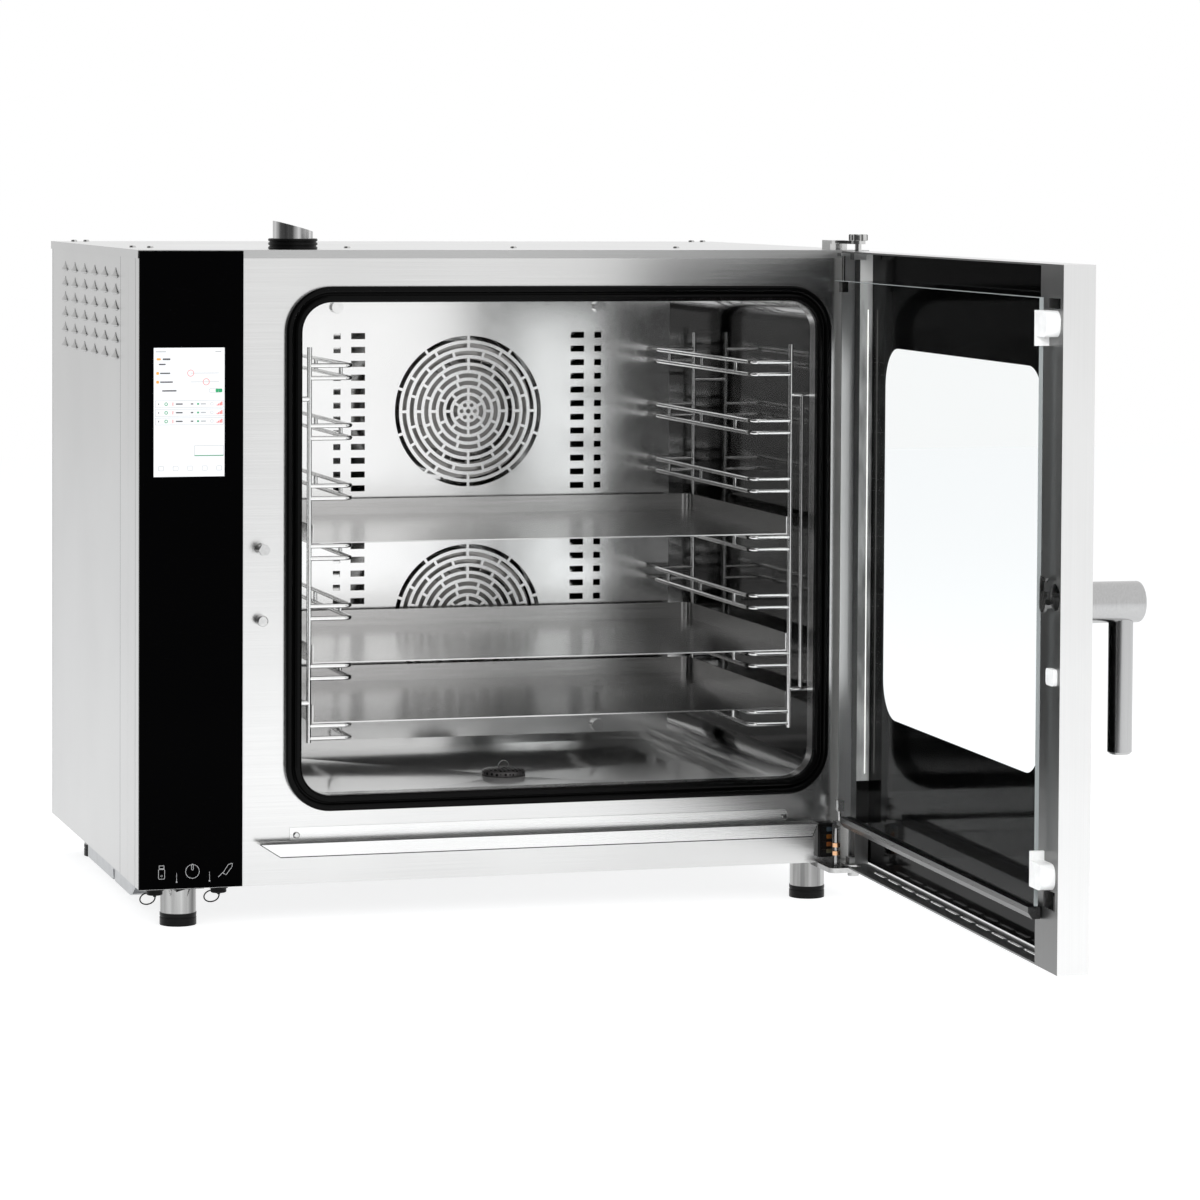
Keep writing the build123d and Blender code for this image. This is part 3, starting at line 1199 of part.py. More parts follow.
door_parts = {
    "door_frame": make_door_frame,
    "outer_glass": make_outer_glass,
    "inner_glass": make_inner_glass,
    "glass_pivots": make_glass_pivots,
    "drip_rail": make_drip_rail,
    "led_bar": make_led_bar,
    "door_clips": make_door_clips,
    "handle_boss": make_handle_boss,
    "handle_lever": make_handle_lever,
    "latch_hook": make_latch_hook,
}

os.makedirs("parts", exist_ok=True)
for name, make in oven_parts.items():
    export_step(make(), f"parts/{name}.step")
for name, make in door_parts.items():
    export_step(swing(make()), f"parts/{name}.step")
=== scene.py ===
import bpy
import json
from math import pi, radians
from mathutils import Matrix, Vector

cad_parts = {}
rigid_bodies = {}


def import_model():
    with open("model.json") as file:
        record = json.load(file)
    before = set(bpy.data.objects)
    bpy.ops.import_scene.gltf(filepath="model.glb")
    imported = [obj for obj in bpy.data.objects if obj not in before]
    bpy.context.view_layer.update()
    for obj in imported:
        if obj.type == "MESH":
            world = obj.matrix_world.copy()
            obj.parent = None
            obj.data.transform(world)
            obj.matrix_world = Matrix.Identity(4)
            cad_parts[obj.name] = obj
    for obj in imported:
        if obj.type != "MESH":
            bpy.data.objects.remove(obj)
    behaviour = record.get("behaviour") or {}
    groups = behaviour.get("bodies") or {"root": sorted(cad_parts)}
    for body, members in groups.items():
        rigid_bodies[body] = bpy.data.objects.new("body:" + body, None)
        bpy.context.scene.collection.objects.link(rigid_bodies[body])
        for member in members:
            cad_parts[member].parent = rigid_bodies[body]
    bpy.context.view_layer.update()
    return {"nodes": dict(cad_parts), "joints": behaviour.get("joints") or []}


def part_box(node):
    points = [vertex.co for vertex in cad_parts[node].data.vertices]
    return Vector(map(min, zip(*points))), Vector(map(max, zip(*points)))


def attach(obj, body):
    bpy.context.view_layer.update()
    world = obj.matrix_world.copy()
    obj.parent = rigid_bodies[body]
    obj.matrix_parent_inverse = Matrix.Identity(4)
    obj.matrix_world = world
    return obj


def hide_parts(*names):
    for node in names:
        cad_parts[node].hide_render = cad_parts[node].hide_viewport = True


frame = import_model()
nodes = frame["nodes"]
MM = 0.001


# Studio: a pale floor, a pale room and a camera at the photograph's place.
# The room is white behind the oven and to its right, and darker in front on the left,
# so that the bright sheet metal shows soft bands.
for other in list(bpy.data.objects):
    if other.type in {"LIGHT", "CAMERA"}:
        bpy.data.objects.remove(other)

sensor_width = 36.0
lens_on_sensor = 129.63
frame_shift = -0.2053
camera_place = Vector((-1.3610, -5.3346, 0.8978))
turned_right, looking_down, leaning = 16.35, 2.38, 0.31
camera_data = bpy.data.cameras.new("photo_camera")
camera_data.lens = lens_on_sensor
camera_data.sensor_width = sensor_width
camera_data.shift_y = frame_shift
camera_data.clip_end = 60.0
camera = bpy.data.objects.new("photo_camera", camera_data)
bpy.context.scene.collection.objects.link(camera)
turn = Matrix.Rotation(radians(-turned_right), 4, "Z") @ Matrix.Rotation(radians(90 - looking_down), 4, "X")
turn = turn @ Matrix.Rotation(radians(leaning), 4, "Z")
camera.matrix_world = Matrix.Translation(camera_place) @ turn
bpy.context.scene.camera = camera
bpy.context.scene.view_settings.view_transform = "Standard"


def add_node(tree, kind, sockets=(), **values):
    """A node with its settings and inputs. A socket's value is a number, a colour or another node's output."""
    node = tree.nodes.new(kind)
    for name, value in values.items():
        if hasattr(node, name) and name not in node.inputs:
            setattr(node, name, value)
        else:
            node.inputs[name].default_value = value
    for socket, value in dict(sockets).items():
        if isinstance(value, bpy.types.NodeSocket):
            tree.links.new(value, node.inputs[socket])
        else:
            node.inputs[socket].default_value = value
    return node


def combine(tree, operation, first, second):
    """Two values put together by a maths node."""
    return add_node(tree, "ShaderNodeMath", {0: first, 1: second}, operation=operation).outputs[0]


def remap(tree, value, low=0.0, high=1.0, to_low=0.0, to_high=1.0, **settings):
    """A value between low and high brought to a range of its own, and held to it beyond them."""
    ends = {0: value, 1: low, 2: high, 3: to_low, 4: to_high}
    return add_node(tree, "ShaderNodeMapRange", ends, **settings).outputs[0]


def mix_shaders(tree, share, first, second):
    sides = {0: share, 1: first.outputs[0], 2: second.outputs[0]}
    return add_node(tree, "ShaderNodeMixShader", sides)


def blank_material(name):
    material = bpy.data.materials.new(name)
    material.use_nodes = True
    material.node_tree.nodes.clear()
    return material, material.node_tree


world = bpy.data.worlds.new("studio_room")
bpy.context.scene.world = world
world.use_nodes = True
room = world.node_tree
room.nodes.clear()
ray = add_node(room, "ShaderNodeLightPath")
facing = add_node(room, "ShaderNodeTexCoord")
axes = add_node(room, "ShaderNodeSeparateXYZ", {0: facing.outputs["Generated"]})
soft_ends = {"interpolation_type": "SMOOTHSTEP"}
from_left = remap(room, axes.outputs["X"], -0.30, 0.16, 0.10, 1.0, **soft_ends)
from_front = remap(room, axes.outputs["Y"], -0.2, 0.5, 0.0, 0.86, **soft_ends)
brightest = combine(room, "MAXIMUM", from_left, from_front)
seen_white = combine(room, "MAXIMUM", ray.outputs["Is Camera Ray"], ray.outputs["Is Transmission Ray"])
metal_room = add_node(room, "ShaderNodeBackground", {"Color": brightest}, Strength=1.0)
white_room = add_node(room, "ShaderNodeBackground", Color=(1, 1, 1, 1), Strength=1.0)
lit_room = add_node(room, "ShaderNodeBackground", Color=(0.93, 0.96, 1, 1), Strength=0.62)
mirrored_or_lit = mix_shaders(room, ray.outputs["Is Glossy Ray"], lit_room, metal_room)
room_shader = mix_shaders(room, seen_white, mirrored_or_lit, white_room)
add_node(room, "ShaderNodeOutputWorld", {"Surface": room_shader.outputs[0]})


def add_lamp(name, place, aim, size, power):
    """A soft rectangular lamp that metal doesn't mirror. Lengths are in metres, the power in watts."""
    lamp_data = bpy.data.lights.new(name, "AREA")
    lamp_data.shape = "RECTANGLE"
    lamp_data.size = size[0]
    lamp_data.size_y = size[1]
    lamp_data.energy = power
    lamp = bpy.data.objects.new(name, lamp_data)
    bpy.context.scene.collection.objects.link(lamp)
    look = Vector(aim) - Vector(place)
    lamp.matrix_world = Matrix.Translation(Vector(place)) @ look.to_track_quat("-Z", "Y").to_matrix().to_4x4()
    lamp.visible_glossy = False


add_lamp("key_lamp", (-2.6, -3.6, 3.0), (0, 0, 0.4), (2.4, 1.8), 78)
add_lamp("fill_lamp", (3.2, -3.4, 2.2), (0.2, -0.2, 0.4), (2.2, 2.2), 46)
add_lamp("top_lamp", (0, 0.6, 3.2), (0, 0, 0.5), (2.6, 2.6), 34)
add_lamp("mouth_lamp", (-0.2, -2.2, 1.0), (0.06, 0.1, 0.2), (0.9, 0.5), 12)


def clear_selection():
    if bpy.context.object and bpy.context.object.mode != "OBJECT":
        bpy.ops.object.mode_set(mode="OBJECT")
    for thing in list(bpy.context.selected_objects):
        thing.select_set(False)
    bpy.context.view_layer.objects.active = None


# The floor is seen and mirrored as nearly white, and dark where metal mirrors its left front corner.
clear_selection()
floor_glow_share = 0.55
bpy.ops.mesh.primitive_plane_add(size=16, location=(0, 0, 0))
floor = bpy.context.object
floor.name = "studio_floor"
floor_material, tree = blank_material("pale_floor")
floor_ray = add_node(tree, "ShaderNodeLightPath")
floor_seen = combine(tree, "MAXIMUM", floor_ray.outputs["Is Camera Ray"], floor_ray.outputs["Is Transmission Ray"])
floor_seen = combine(tree, "MAXIMUM", floor_seen, floor_ray.outputs["Is Glossy Ray"])
floor_fade = combine(tree, "MULTIPLY", floor_seen, floor_glow_share)
floor_matte = add_node(tree, "ShaderNodeBsdfDiffuse", Color=(0.93, 0.93, 0.93, 1))
floor_glow = add_node(tree, "ShaderNodeEmission", Color=(1, 1, 1, 1), Strength=1.36)
floor_pale = mix_shaders(tree, floor_fade, floor_matte, floor_glow)
floor_place = add_node(tree, "ShaderNodeTexCoord")
floor_axes = add_node(tree, "ShaderNodeSeparateXYZ", {0: floor_place.outputs["Object"]})
floor_left = remap(tree, floor_axes.outputs["X"], -0.1, -0.8, **soft_ends)
floor_front = remap(tree, floor_axes.outputs["Y"], -0.9, -1.7, **soft_ends)
floor_corner = combine(tree, "MULTIPLY", floor_left, floor_front)
floor_mirrored = combine(tree, "MULTIPLY", floor_corner, floor_ray.outputs["Is Glossy Ray"])
floor_unlit = add_node(tree, "ShaderNodeEmission", Color=(0.03, 0.03, 0.03, 1), Strength=1.0)
floor_shader = mix_shaders(tree, floor_mirrored, floor_pale, floor_unlit)
add_node(tree, "ShaderNodeOutputMaterial", {"Surface": floor_shader.outputs[0]})
floor.data.materials.append(floor_material)


# Outer sheets: roof cap, side and rear panels, base pan and the fascia round the mouth.
# Folded from brushed stainless sheet, 1.5 mm thick, and screwed to each other.
# The grain runs upright on the sides and along the front on the fascia.
def scaled_colour(tree, colour, share):
    """A colour made paler or darker by another node's output."""
    return add_node(tree, "ShaderNodeVectorMath", {0: colour, "Scale": share}, operation="SCALE").outputs[0]


def by_side(tree, place, axis, low, high, at_low, at_high):
    """A value set by how far a face looks along an axis of the piece."""
    looks = add_node(tree, "ShaderNodeSeparateXYZ", {0: place.outputs["Normal"]})
    return remap(tree, looks.outputs[axis], low, high, at_low, at_high)


def sheet_metal(name, colour, rough, grain, streak=0.06, wave=0.0, left_painted_shade=1.0, lying_pale=0.0,
                front_painted_shade=1.0):
    """Brushed or rolled metal. grain gives the noise scales along X, Y and Z.

    The left and front shares darken the faces that look left or forward with painted shade, lying_pale makes the
    lying ones scatter more light.
    """
    material, tree = blank_material(name)
    place = add_node(tree, "ShaderNodeTexCoord")
    stretch = add_node(tree, "ShaderNodeMapping", {"Vector": place.outputs["Object"]}, Scale=grain)
    lines = add_node(tree, "ShaderNodeTexNoise", {"Vector": stretch.outputs[0]}, Scale=1.0, Detail=3.0)
    cloud = add_node(tree, "ShaderNodeTexNoise", {"Vector": place.outputs["Object"]}, Scale=5.0, Detail=2.0)
    streaks = remap(tree, lines.outputs["Fac"], 0.25, 0.75, 1 - streak, 1 + streak * 0.5)
    tone = combine(tree, "MULTIPLY", streaks, remap(tree, cloud.outputs["Fac"], 0.3, 0.7, 0.97, 1.03))
    # Painted shade: faces that look left or forward are darkened in colour by the way they face.
    if left_painted_shade < 1:
        tone = combine(tree, "MULTIPLY", tone, by_side(tree, place, "X", -0.9, -0.4, left_painted_shade, 1.0))
    if front_painted_shade < 1:
        tone = combine(tree, "MULTIPLY", tone, by_side(tree, place, "Y", -0.9, -0.5, front_painted_shade, 1.0))
    tint = scaled_colour(tree, colour, tone)
    dull = remap(tree, lines.outputs["Fac"], to_low=rough * 0.8, to_high=rough * 1.25)
    metal_share = 1.0
    if lying_pale > 0:
        metal_share = by_side(tree, place, "Z", 0.4, 0.8, 1.0, 1 - lying_pale)
    surface = {"Base Color": tint, "Roughness": dull, "Metallic": metal_share}
    skin = add_node(tree, "ShaderNodeBsdfPrincipled", surface)
    fine = {"Height": lines.outputs["Fac"]}
    fine_strength = 0.08
    if wave > 0:
        swell = add_node(tree, "ShaderNodeTexNoise", {"Vector": place.outputs["Object"]}, Scale=7.0, Detail=1.0)
        broad = {"Height": swell.outputs["Fac"]}
        fine["Normal"] = add_node(tree, "ShaderNodeBump", broad, Strength=wave, Distance=0.004).outputs[0]
        fine_strength = 0.02
    bump = add_node(tree, "ShaderNodeBump", fine, Strength=fine_strength, Distance=0.0003)
    tree.links.new(bump.outputs[0], skin.inputs["Normal"])
    add_node(tree, "ShaderNodeOutputMaterial", {"Surface": skin.outputs[0]})
    return material


def coat(material, *names):
    for name in names:
        mesh = nodes[name].data
        mesh.materials.clear()
        mesh.materials.append(material)


upright_steel = sheet_metal("upright_brushed_steel", (0.60, 0.60, 0.595), 0.34, (900, 900, 5))
fascia_steel = sheet_metal("fascia_brushed_steel", (0.74, 0.74, 0.735), 0.21, (5, 900, 900))
# Painted light and shade: the roof's steel is paler than the side sheets' as a lit top, and its faces that look left
# or forward are darkened as painted shade.
roof_steel = sheet_metal("roof_brushed_steel", (0.80, 0.80, 0.795), 0.34, (5, 900, 900), left_painted_shade=0.74,
                         front_painted_shade=0.70)
galvanised = sheet_metal("plain_zinc_sheet", (0.55, 0.56, 0.57), 0.45, (60, 60, 60), streak=0.14)
coat(upright_steel, "side_panel_right", "rear_panel", "control_housing")
coat(fascia_steel, "front_fascia")
coat(roof_steel, "roof_panel")
coat(galvanised, "base_pan", "runner_bracket", "water_line")


# Door seal: black silicone with two round lobes on a flat foot, pressed into the fascia.
# The port caps and the chimney boot are moulded rubber. Rocker, port and contact blocks,
# cable gland and the bases of the feet are black moulded plastic.
def soft_black(name, colour, rough, gloss=0.35):
    material, tree = blank_material(name)
    place = add_node(tree, "ShaderNodeTexCoord")
    fine = add_node(tree, "ShaderNodeTexNoise", {"Vector": place.outputs["Object"]}, Scale=900, Detail=2.0)
    broad = add_node(tree, "ShaderNodeTexNoise", {"Vector": place.outputs["Object"]}, Scale=14.0, Detail=2.0)
    dull = remap(tree, broad.outputs["Fac"], to_low=rough * 0.8, to_high=rough * 1.2)
    tint = scaled_colour(tree, colour, remap(tree, broad.outputs["Fac"], to_low=0.8, to_high=1.2))
    surface = {"Base Color": tint, "Roughness": dull, "Specular IOR Level": gloss}
    skin = add_node(tree, "ShaderNodeBsdfPrincipled", surface)
    bump = add_node(tree, "ShaderNodeBump", {"Height": fine.outputs["Fac"]}, Strength=0.25, Distance=0.0002)
    tree.links.new(bump.outputs[0], skin.inputs["Normal"])
    add_node(tree, "ShaderNodeOutputMaterial", {"Surface": skin.outputs[0]})
    return material


seal_black = soft_black("seal_silicone", (0.0012, 0.0012, 0.0012), 0.2, 0.08)
rubber_black = soft_black("moulded_rubber", (0.003, 0.003, 0.003), 0.35, 0.12)
plastic_black = soft_black("black_moulded_plastic", (0.004, 0.004, 0.004), 0.3, 0.14)
coat(seal_black, "door_gasket")
coat(rubber_black, "chimney_boot", "usb_cap", "probe_cap")
coat(plastic_black, "foot_bases", "switch_housing", "power_rocker", "port_sockets", "contact_block", "cable_gland")


# Cavity: bright rolled stainless walls, baffle and trays, with racks bent from polished wire.
# The walls mirror what stands in them, a little wavy as thin sheet is.
# Pins, screws, hook and hinge brackets are turned or pressed from a darker bright steel.
# Painted shade: the cavity walls that look left, the right wall among them, are darkened in colour by the way they
# face.
mirror_steel = sheet_metal("bright_rolled_steel", (0.88, 0.88, 0.875), 0.08, (30, 30, 30), streak=0.02, wave=0.05,
                           lying_pale=0.75, left_painted_shade=0.3)
baffle_steel = sheet_metal("baffle_sheet", (0.93, 0.93, 0.925), 0.16, (40, 40, 40), streak=0.02, wave=0.05)
tray_steel = sheet_metal("tray_sheet", (0.66, 0.655, 0.65), 0.22, (8, 300, 300), streak=0.08, wave=0.03)
wire_steel = sheet_metal("polished_wire", (0.86, 0.86, 0.855), 0.14, (200, 200, 200), streak=0.05)
# Painted shade: faces of the turned steel parts that look left are darkened in colour.
dark_chrome = sheet_metal("turned_bright_steel", (0.62, 0.62, 0.615), 0.10, (300, 300, 300), streak=0.12,
                          left_painted_shade=0.6)
fan_steel = sheet_metal("fan_sheet", (0.42, 0.41, 0.40), 0.3, (120, 120, 120), streak=0.1)
heater_steel = sheet_metal("heated_tube", (0.34, 0.30, 0.27), 0.36, (90, 90, 90), streak=0.3)
coat(mirror_steel, "cavity_shell")
coat(baffle_steel, "baffle_panel")
coat(tray_steel, "tray_upper", "tray_middle", "tray_lower")
coat(wire_steel, "rack_left", "rack_right", "baffle_screws", "drain_strainer")
coat(dark_chrome, "striker_pin", "panel_screws", "hinge_pins", "hinge_nut", "glass_pivots", "latch_hook",
     "hinge_bracket_top", "hinge_bracket_bottom", "door_button")
coat(fan_steel, "fan_upper", "fan_lower", "steam_duct", "drain_pipe")
coat(heater_steel, "ring_heaters")


# What works behind the sheets: mineral wool laid round the cavity, cast motor housings on studs
# behind it, and two lacquered circuit boards on spacers. The white clips of the outer glass are moulded.
coat(sheet_metal("cast_motor_housing", (0.60, 0.60, 0.61), 0.45, (260, 260, 260), streak=0.12), "fan_motors")


def speckled(name, low, high, scale, rough, depth):
    """A matt skin speckled between two colours, with grains of the given scale and depth."""
    material, tree = blank_material(name)
    place = add_node(tree, "ShaderNodeTexCoord")
    grain = add_node(tree, "ShaderNodeTexNoise", {"Vector": place.outputs["Object"]}, Scale=scale, Detail=4.0)
    ramp = add_node(tree, "ShaderNodeValToRGB", {0: grain.outputs["Fac"]})
    ramp.color_ramp.elements[0].position = 0.35
    ramp.color_ramp.elements[0].color = (*low, 1)
    ramp.color_ramp.elements[1].position = 0.65
    ramp.color_ramp.elements[1].color = (*high, 1)
    skin = add_node(tree, "ShaderNodeBsdfPrincipled", {"Base Color": ramp.outputs[0]}, Roughness=rough)
    bump = add_node(tree, "ShaderNodeBump", {"Height": grain.outputs["Fac"]}, Strength=depth, Distance=0.001)
    tree.links.new(bump.outputs[0], skin.inputs["Normal"])
    add_node(tree, "ShaderNodeOutputMaterial", {"Surface": skin.outputs[0]})
    return material


wool = speckled("mineral_wool", (0.50, 0.46, 0.30), (0.72, 0.68, 0.48), 160, 0.9, 0.8)
lacquer = speckled("board_lacquer", (0.015, 0.11, 0.05), (0.03, 0.20, 0.09), 220, 0.35, 0.05)
white_moulding = speckled("white_moulding", (0.80, 0.80, 0.79), (0.88, 0.88, 0.87), 90, 0.38, 0.05)
coat(wool, "cavity_insulation")
coat(lacquer, "controller_board", "power_board")
coat(white_moulding, "door_clips")


# Chimney and feet: the pipe is a bright tube cut off on a slant, its foot in the rubber boot.
# The feet are sleeves turned from bar. Both mirror the room, and carry upright dark and pale bands painted into
# their colour as a painted reflection, over their brushed grain.
# Painted reflection: the strong upright streaks of these two steels are dark and pale bands in the colour, partly
# brushed grain.
tube_steel = sheet_metal("tube_grain_and_painted_bands", (0.60, 0.60, 0.60), 0.12, (110, 110, 2), streak=0.75)
foot_steel = sheet_metal("foot_sleeve_painted_bands", (0.46, 0.46, 0.455), 0.13, (75, 75, 1.5), streak=0.8)
coat(tube_steel, "chimney_pipe")
coat(foot_steel, "foot_sleeves")


# Control column: one black glass over the whole front, with the screen set flush in it.
# Symbols above the ports are printed on the glass in thin grey lines.
def glossy_black(name, colour, rough, specular):
    material, tree = blank_material(name)
    place = add_node(tree, "ShaderNodeTexCoord")
    smear = add_node(tree, "ShaderNodeTexNoise", {"Vector": place.outputs["Object"]}, Scale=9.0, Detail=3.0)
    dull = remap(tree, smear.outputs["Fac"], to_low=rough, to_high=rough * 2.0)
    surface = {"Base Color": (*colour, 1), "Roughness": dull, "Specular IOR Level": specular}
    skin = add_node(tree, "ShaderNodeBsdfPrincipled", surface)
    add_node(tree, "ShaderNodeOutputMaterial", {"Surface": skin.outputs[0]})
    return material


column_black = glossy_black("column_black_glass", (0.0004, 0.0004, 0.0005), 0.04, 0.012)
coat(column_black, "control_glass")


def round_plate(width, height, radius, segments=4):
    """In edit mode: an upright plate in the plane of the front, its corners rounded. It is left selected."""
    bpy.ops.mesh.primitive_plane_add(size=1, location=(0, 0, 0), rotation=(pi / 2, 0, 0))
    bpy.ops.transform.resize(value=(width, 1, height), center_override=(0, 0, 0))
    if radius > 0:
        bpy.ops.mesh.bevel(offset=radius, offset_type="OFFSET", segments=segments, affect="VERTICES")


def start_piece(name):
    """An empty mesh piece at the origin, in edit mode."""
    clear_selection()
    bpy.ops.mesh.primitive_plane_add(size=1, location=(0, 0, 0))
    piece = bpy.context.object
    piece.name = name
    piece.data.name = name
    bpy.ops.object.mode_set(mode="EDIT")
    bpy.ops.mesh.select_all(action="SELECT")
    bpy.ops.mesh.delete(type="VERT")
    return piece


def end_piece(piece, material, body, thick=0.0):
    """Leaves edit mode, gives a flat piece its thickness and hangs it on its body."""
    bpy.ops.object.mode_set(mode="OBJECT")
    if thick > 0:
        wall = piece.modifiers.new("thickness", "SOLIDIFY")
        wall.thickness = thick
        wall.offset = 0.0
        bpy.ops.object.modifier_apply(modifier=wall.name)
    piece.data.materials.clear()
    piece.data.materials.append(material)
    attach(piece, body)


def set_aside():
    """In edit mode: hides what is selected, so that the next part is made by itself."""
    bpy.ops.mesh.hide(unselected=False)


def gather_parts():
    """In edit mode: brings back all parts of the piece, selected and with their faces looking out."""
    bpy.ops.mesh.reveal(select=True)
    bpy.ops.mesh.select_all(action="SELECT")
    bpy.ops.mesh.normals_make_consistent(inside=False)


def mark_plate(x, z, width, height, radius, line):
    """One printed mark at its place on the glass: a filled plate, or an outline of the given line width."""
    round_plate(width, height, radius)
    if line > 0:
        bpy.ops.mesh.inset(thickness=line, use_boundary=True)
        bpy.ops.mesh.delete(type="FACE")
        bpy.ops.mesh.select_all(action="SELECT")
    bpy.ops.transform.translate(value=(x, 0, z))
    set_aside()


def mark_line(x0, z0, x1, z1, width):
    """A thin straight line between two points: a printed line, or a line of painted shadow."""
    length = ((x1 - x0) ** 2 + (z1 - z0) ** 2) ** 0.5
    slope = Vector((x1 - x0, 0, z1 - z0))
    round_plate(length, width, 0)
    angle = Vector((1, 0, 0)).angle(slope)
    if z1 < z0:
        angle = -angle
    bpy.ops.transform.rotate(value=angle, orient_axis="Y", center_override=(0, 0, 0))
    bpy.ops.transform.translate(value=((x0 + x1) / 2, 0, (z0 + z1) / 2))
    set_aside()


def print_marks(name, marks, y, material, thick=0.12 * MM):
    """One thin piece made of all the marks, which lie in the upright plane at y."""
    piece = start_piece(name)
    for draw, values in marks:
        draw(*values)
    gather_parts()
    bpy.ops.transform.translate(value=(0, y, 0))
    end_piece(piece, material, "oven", thick)


glass_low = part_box("control_glass")[0]
glass_front = glass_low[1] - 0.10 * MM
column_x = glass_low[0] - MM
symbol_height, pointer_height = 71, 64.5
print_grey = speckled("printed_grey", (0.34, 0.34, 0.34), (0.42, 0.42, 0.42), 400, 0.4, 0.0)
symbol_line = 0.6 * MM


def column_at(across, height):
    """A place on the column: millimetres from its left edge and above the floor."""
    return column_x + across * MM, height * MM


usb_x, usb_z = column_at(28, symbol_height)
power_x, power_z = column_at(65, symbol_height)
probe_x, probe_z = column_at(105, symbol_height)
symbols = [
    (mark_plate, (usb_x, usb_z - 2.0 * MM, 8 * MM, 12 * MM, 1.6 * MM, symbol_line)),
    (mark_plate, (usb_x, usb_z + 6.4 * MM, 6.4 * MM, 4 * MM, 0.4 * MM, symbol_line)),
    (mark_plate, (usb_x, usb_z - 4.0 * MM, 2.2 * MM, 2.2 * MM, 1.0 * MM, 0.35 * MM)),
    (mark_plate, (power_x, power_z, 17 * MM, 17 * MM, 8.4 * MM, symbol_line)),
    (mark_plate, (power_x, power_z + 5.2 * MM, 2.6 * MM, 7.6 * MM, 1.2 * MM, symbol_line)),
    (mark_line, (probe_x - 9 * MM, probe_z - 8 * MM, probe_x - 3.5 * MM, probe_z - 2.5 * MM, symbol_line)),
    (mark_line, (probe_x - 3.5 * MM, probe_z - 3.5 * MM, probe_x + 3.0 * MM, probe_z + 6.5 * MM, symbol_line)),
    (mark_line, (probe_x + 0.5 * MM, probe_z - 5.5 * MM, probe_x + 7.5 * MM, probe_z + 3.5 * MM, symbol_line)),
    (mark_line, (probe_x + 3.0 * MM, probe_z + 6.5 * MM, probe_x + 8.0 * MM, probe_z + 8.0 * MM, symbol_line)),
    (mark_line, (probe_x + 7.5 * MM, probe_z + 3.5 * MM, probe_x + 8.0 * MM, probe_z + 8.0 * MM, symbol_line)),
    (mark_line, (probe_x - 3.5 * MM, probe_z - 3.5 * MM, probe_x + 0.5 * MM, probe_z - 5.5 * MM, symbol_line)),
]
for across in (46, 85.5):
    pointer_x, pointer_z = column_at(across, pointer_height)
    symbols.append((mark_plate, (pointer_x, pointer_z, 0.45 * MM, 11 * MM, 0, 0)))
    symbols.append((mark_plate, (pointer_x, pointer_z - 5.5 * MM, 1.8 * MM, 1.8 * MM, 0.7 * MM, 0)))
print_marks("port_symbols", symbols, glass_front, print_grey)


def glowing(name, colour, strength):
    """A smooth skin that gives off a little light of its own colour."""
    material, tree = blank_material(name)
    place = add_node(tree, "ShaderNodeTexCoord")
    cloud = add_node(tree, "ShaderNodeTexNoise", {"Vector": place.outputs["Object"]}, Scale=30.0, Detail=1.0)
    tint = scaled_colour(tree, colour, remap(tree, cloud.outputs["Fac"], to_low=0.97, to_high=1.03))
    surface = {"Base Color": tint, "Emission Color": tint, "Emission Strength": strength}
    skin = add_node(tree, "ShaderNodeBsdfPrincipled", surface, Roughness=0.25)
    add_node(tree, "ShaderNodeOutputMaterial", {"Surface": skin.outputs[0]})
    return material


coat(glowing("screen_white", (0.68, 0.685, 0.69), 0.12), "touch_display")

screen_low, screen_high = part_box("touch_display")
screen_left = screen_low[0] + MM
screen_wide = screen_high[0] - screen_low[0] - 2 * MM
screen_top = screen_high[2] - MM
screen_tall = screen_high[2] - screen_low[2] - 2 * MM
screen_front = screen_low[1] - 0.08 * MM


def on_screen(across, down):
    return screen_left + across * screen_wide, screen_top - down * screen_tall


def screen_marks(name, colour, glow, marks):
    """Marks on the screen: across and down as parts of the screen, width and height in millimetres."""
    placed = []
    for across, down, width, height, radius, outline in marks:
        x, z = on_screen(across, down)
        placed.append((mark_plate, (x, z, width * MM, height * MM, radius * MM, outline * MM)))
    print_marks(name, placed, screen_front, glowing(name + "_light", colour, glow), 0.06 * MM)


grey_marks = [(0.10, 0.03, 12, 1.0, 0, 0), (0.91, 0.03, 7, 1.0, 0, 0)]
grey_marks += [(0.72, 0.197, 34, 0.5, 0, 0), (0.72, 0.265, 34, 0.5, 0, 0)]
dark_marks = [(0.18, 0.088, 9, 2.0, 0.4, 0), (0.12, 0.128, 8, 1.6, 0.3, 0)]
dark_marks += [(0.16, 0.197, 12, 1.6, 0.3, 0), (0.18, 0.265, 15, 1.6, 0.3, 0), (0.22, 0.333, 17, 1.6, 0.3, 0)]
red_marks = [(0.52, 0.197, 8, 8, 3.9, 0.6), (0.74, 0.265, 8, 8, 3.9, 0.6)]
green_marks = [(0.92, 0.333, 8, 4.4, 1.2, 0), (0.78, 0.837, 35, 0.9, 0, 0)]
amber_marks = [(0.055, 0.197, 3.4, 3.4, 1.2, 0), (0.055, 0.265, 3.4, 3.4, 1.2, 0), (0.07, 0.088, 5, 2.6, 1.0, 0)]
grey_marks += [(0.85, 0.333, 12, 5.0, 2.2, 0.35), (0.78, 0.80, 35, 12.5, 0.6, 0.35)]
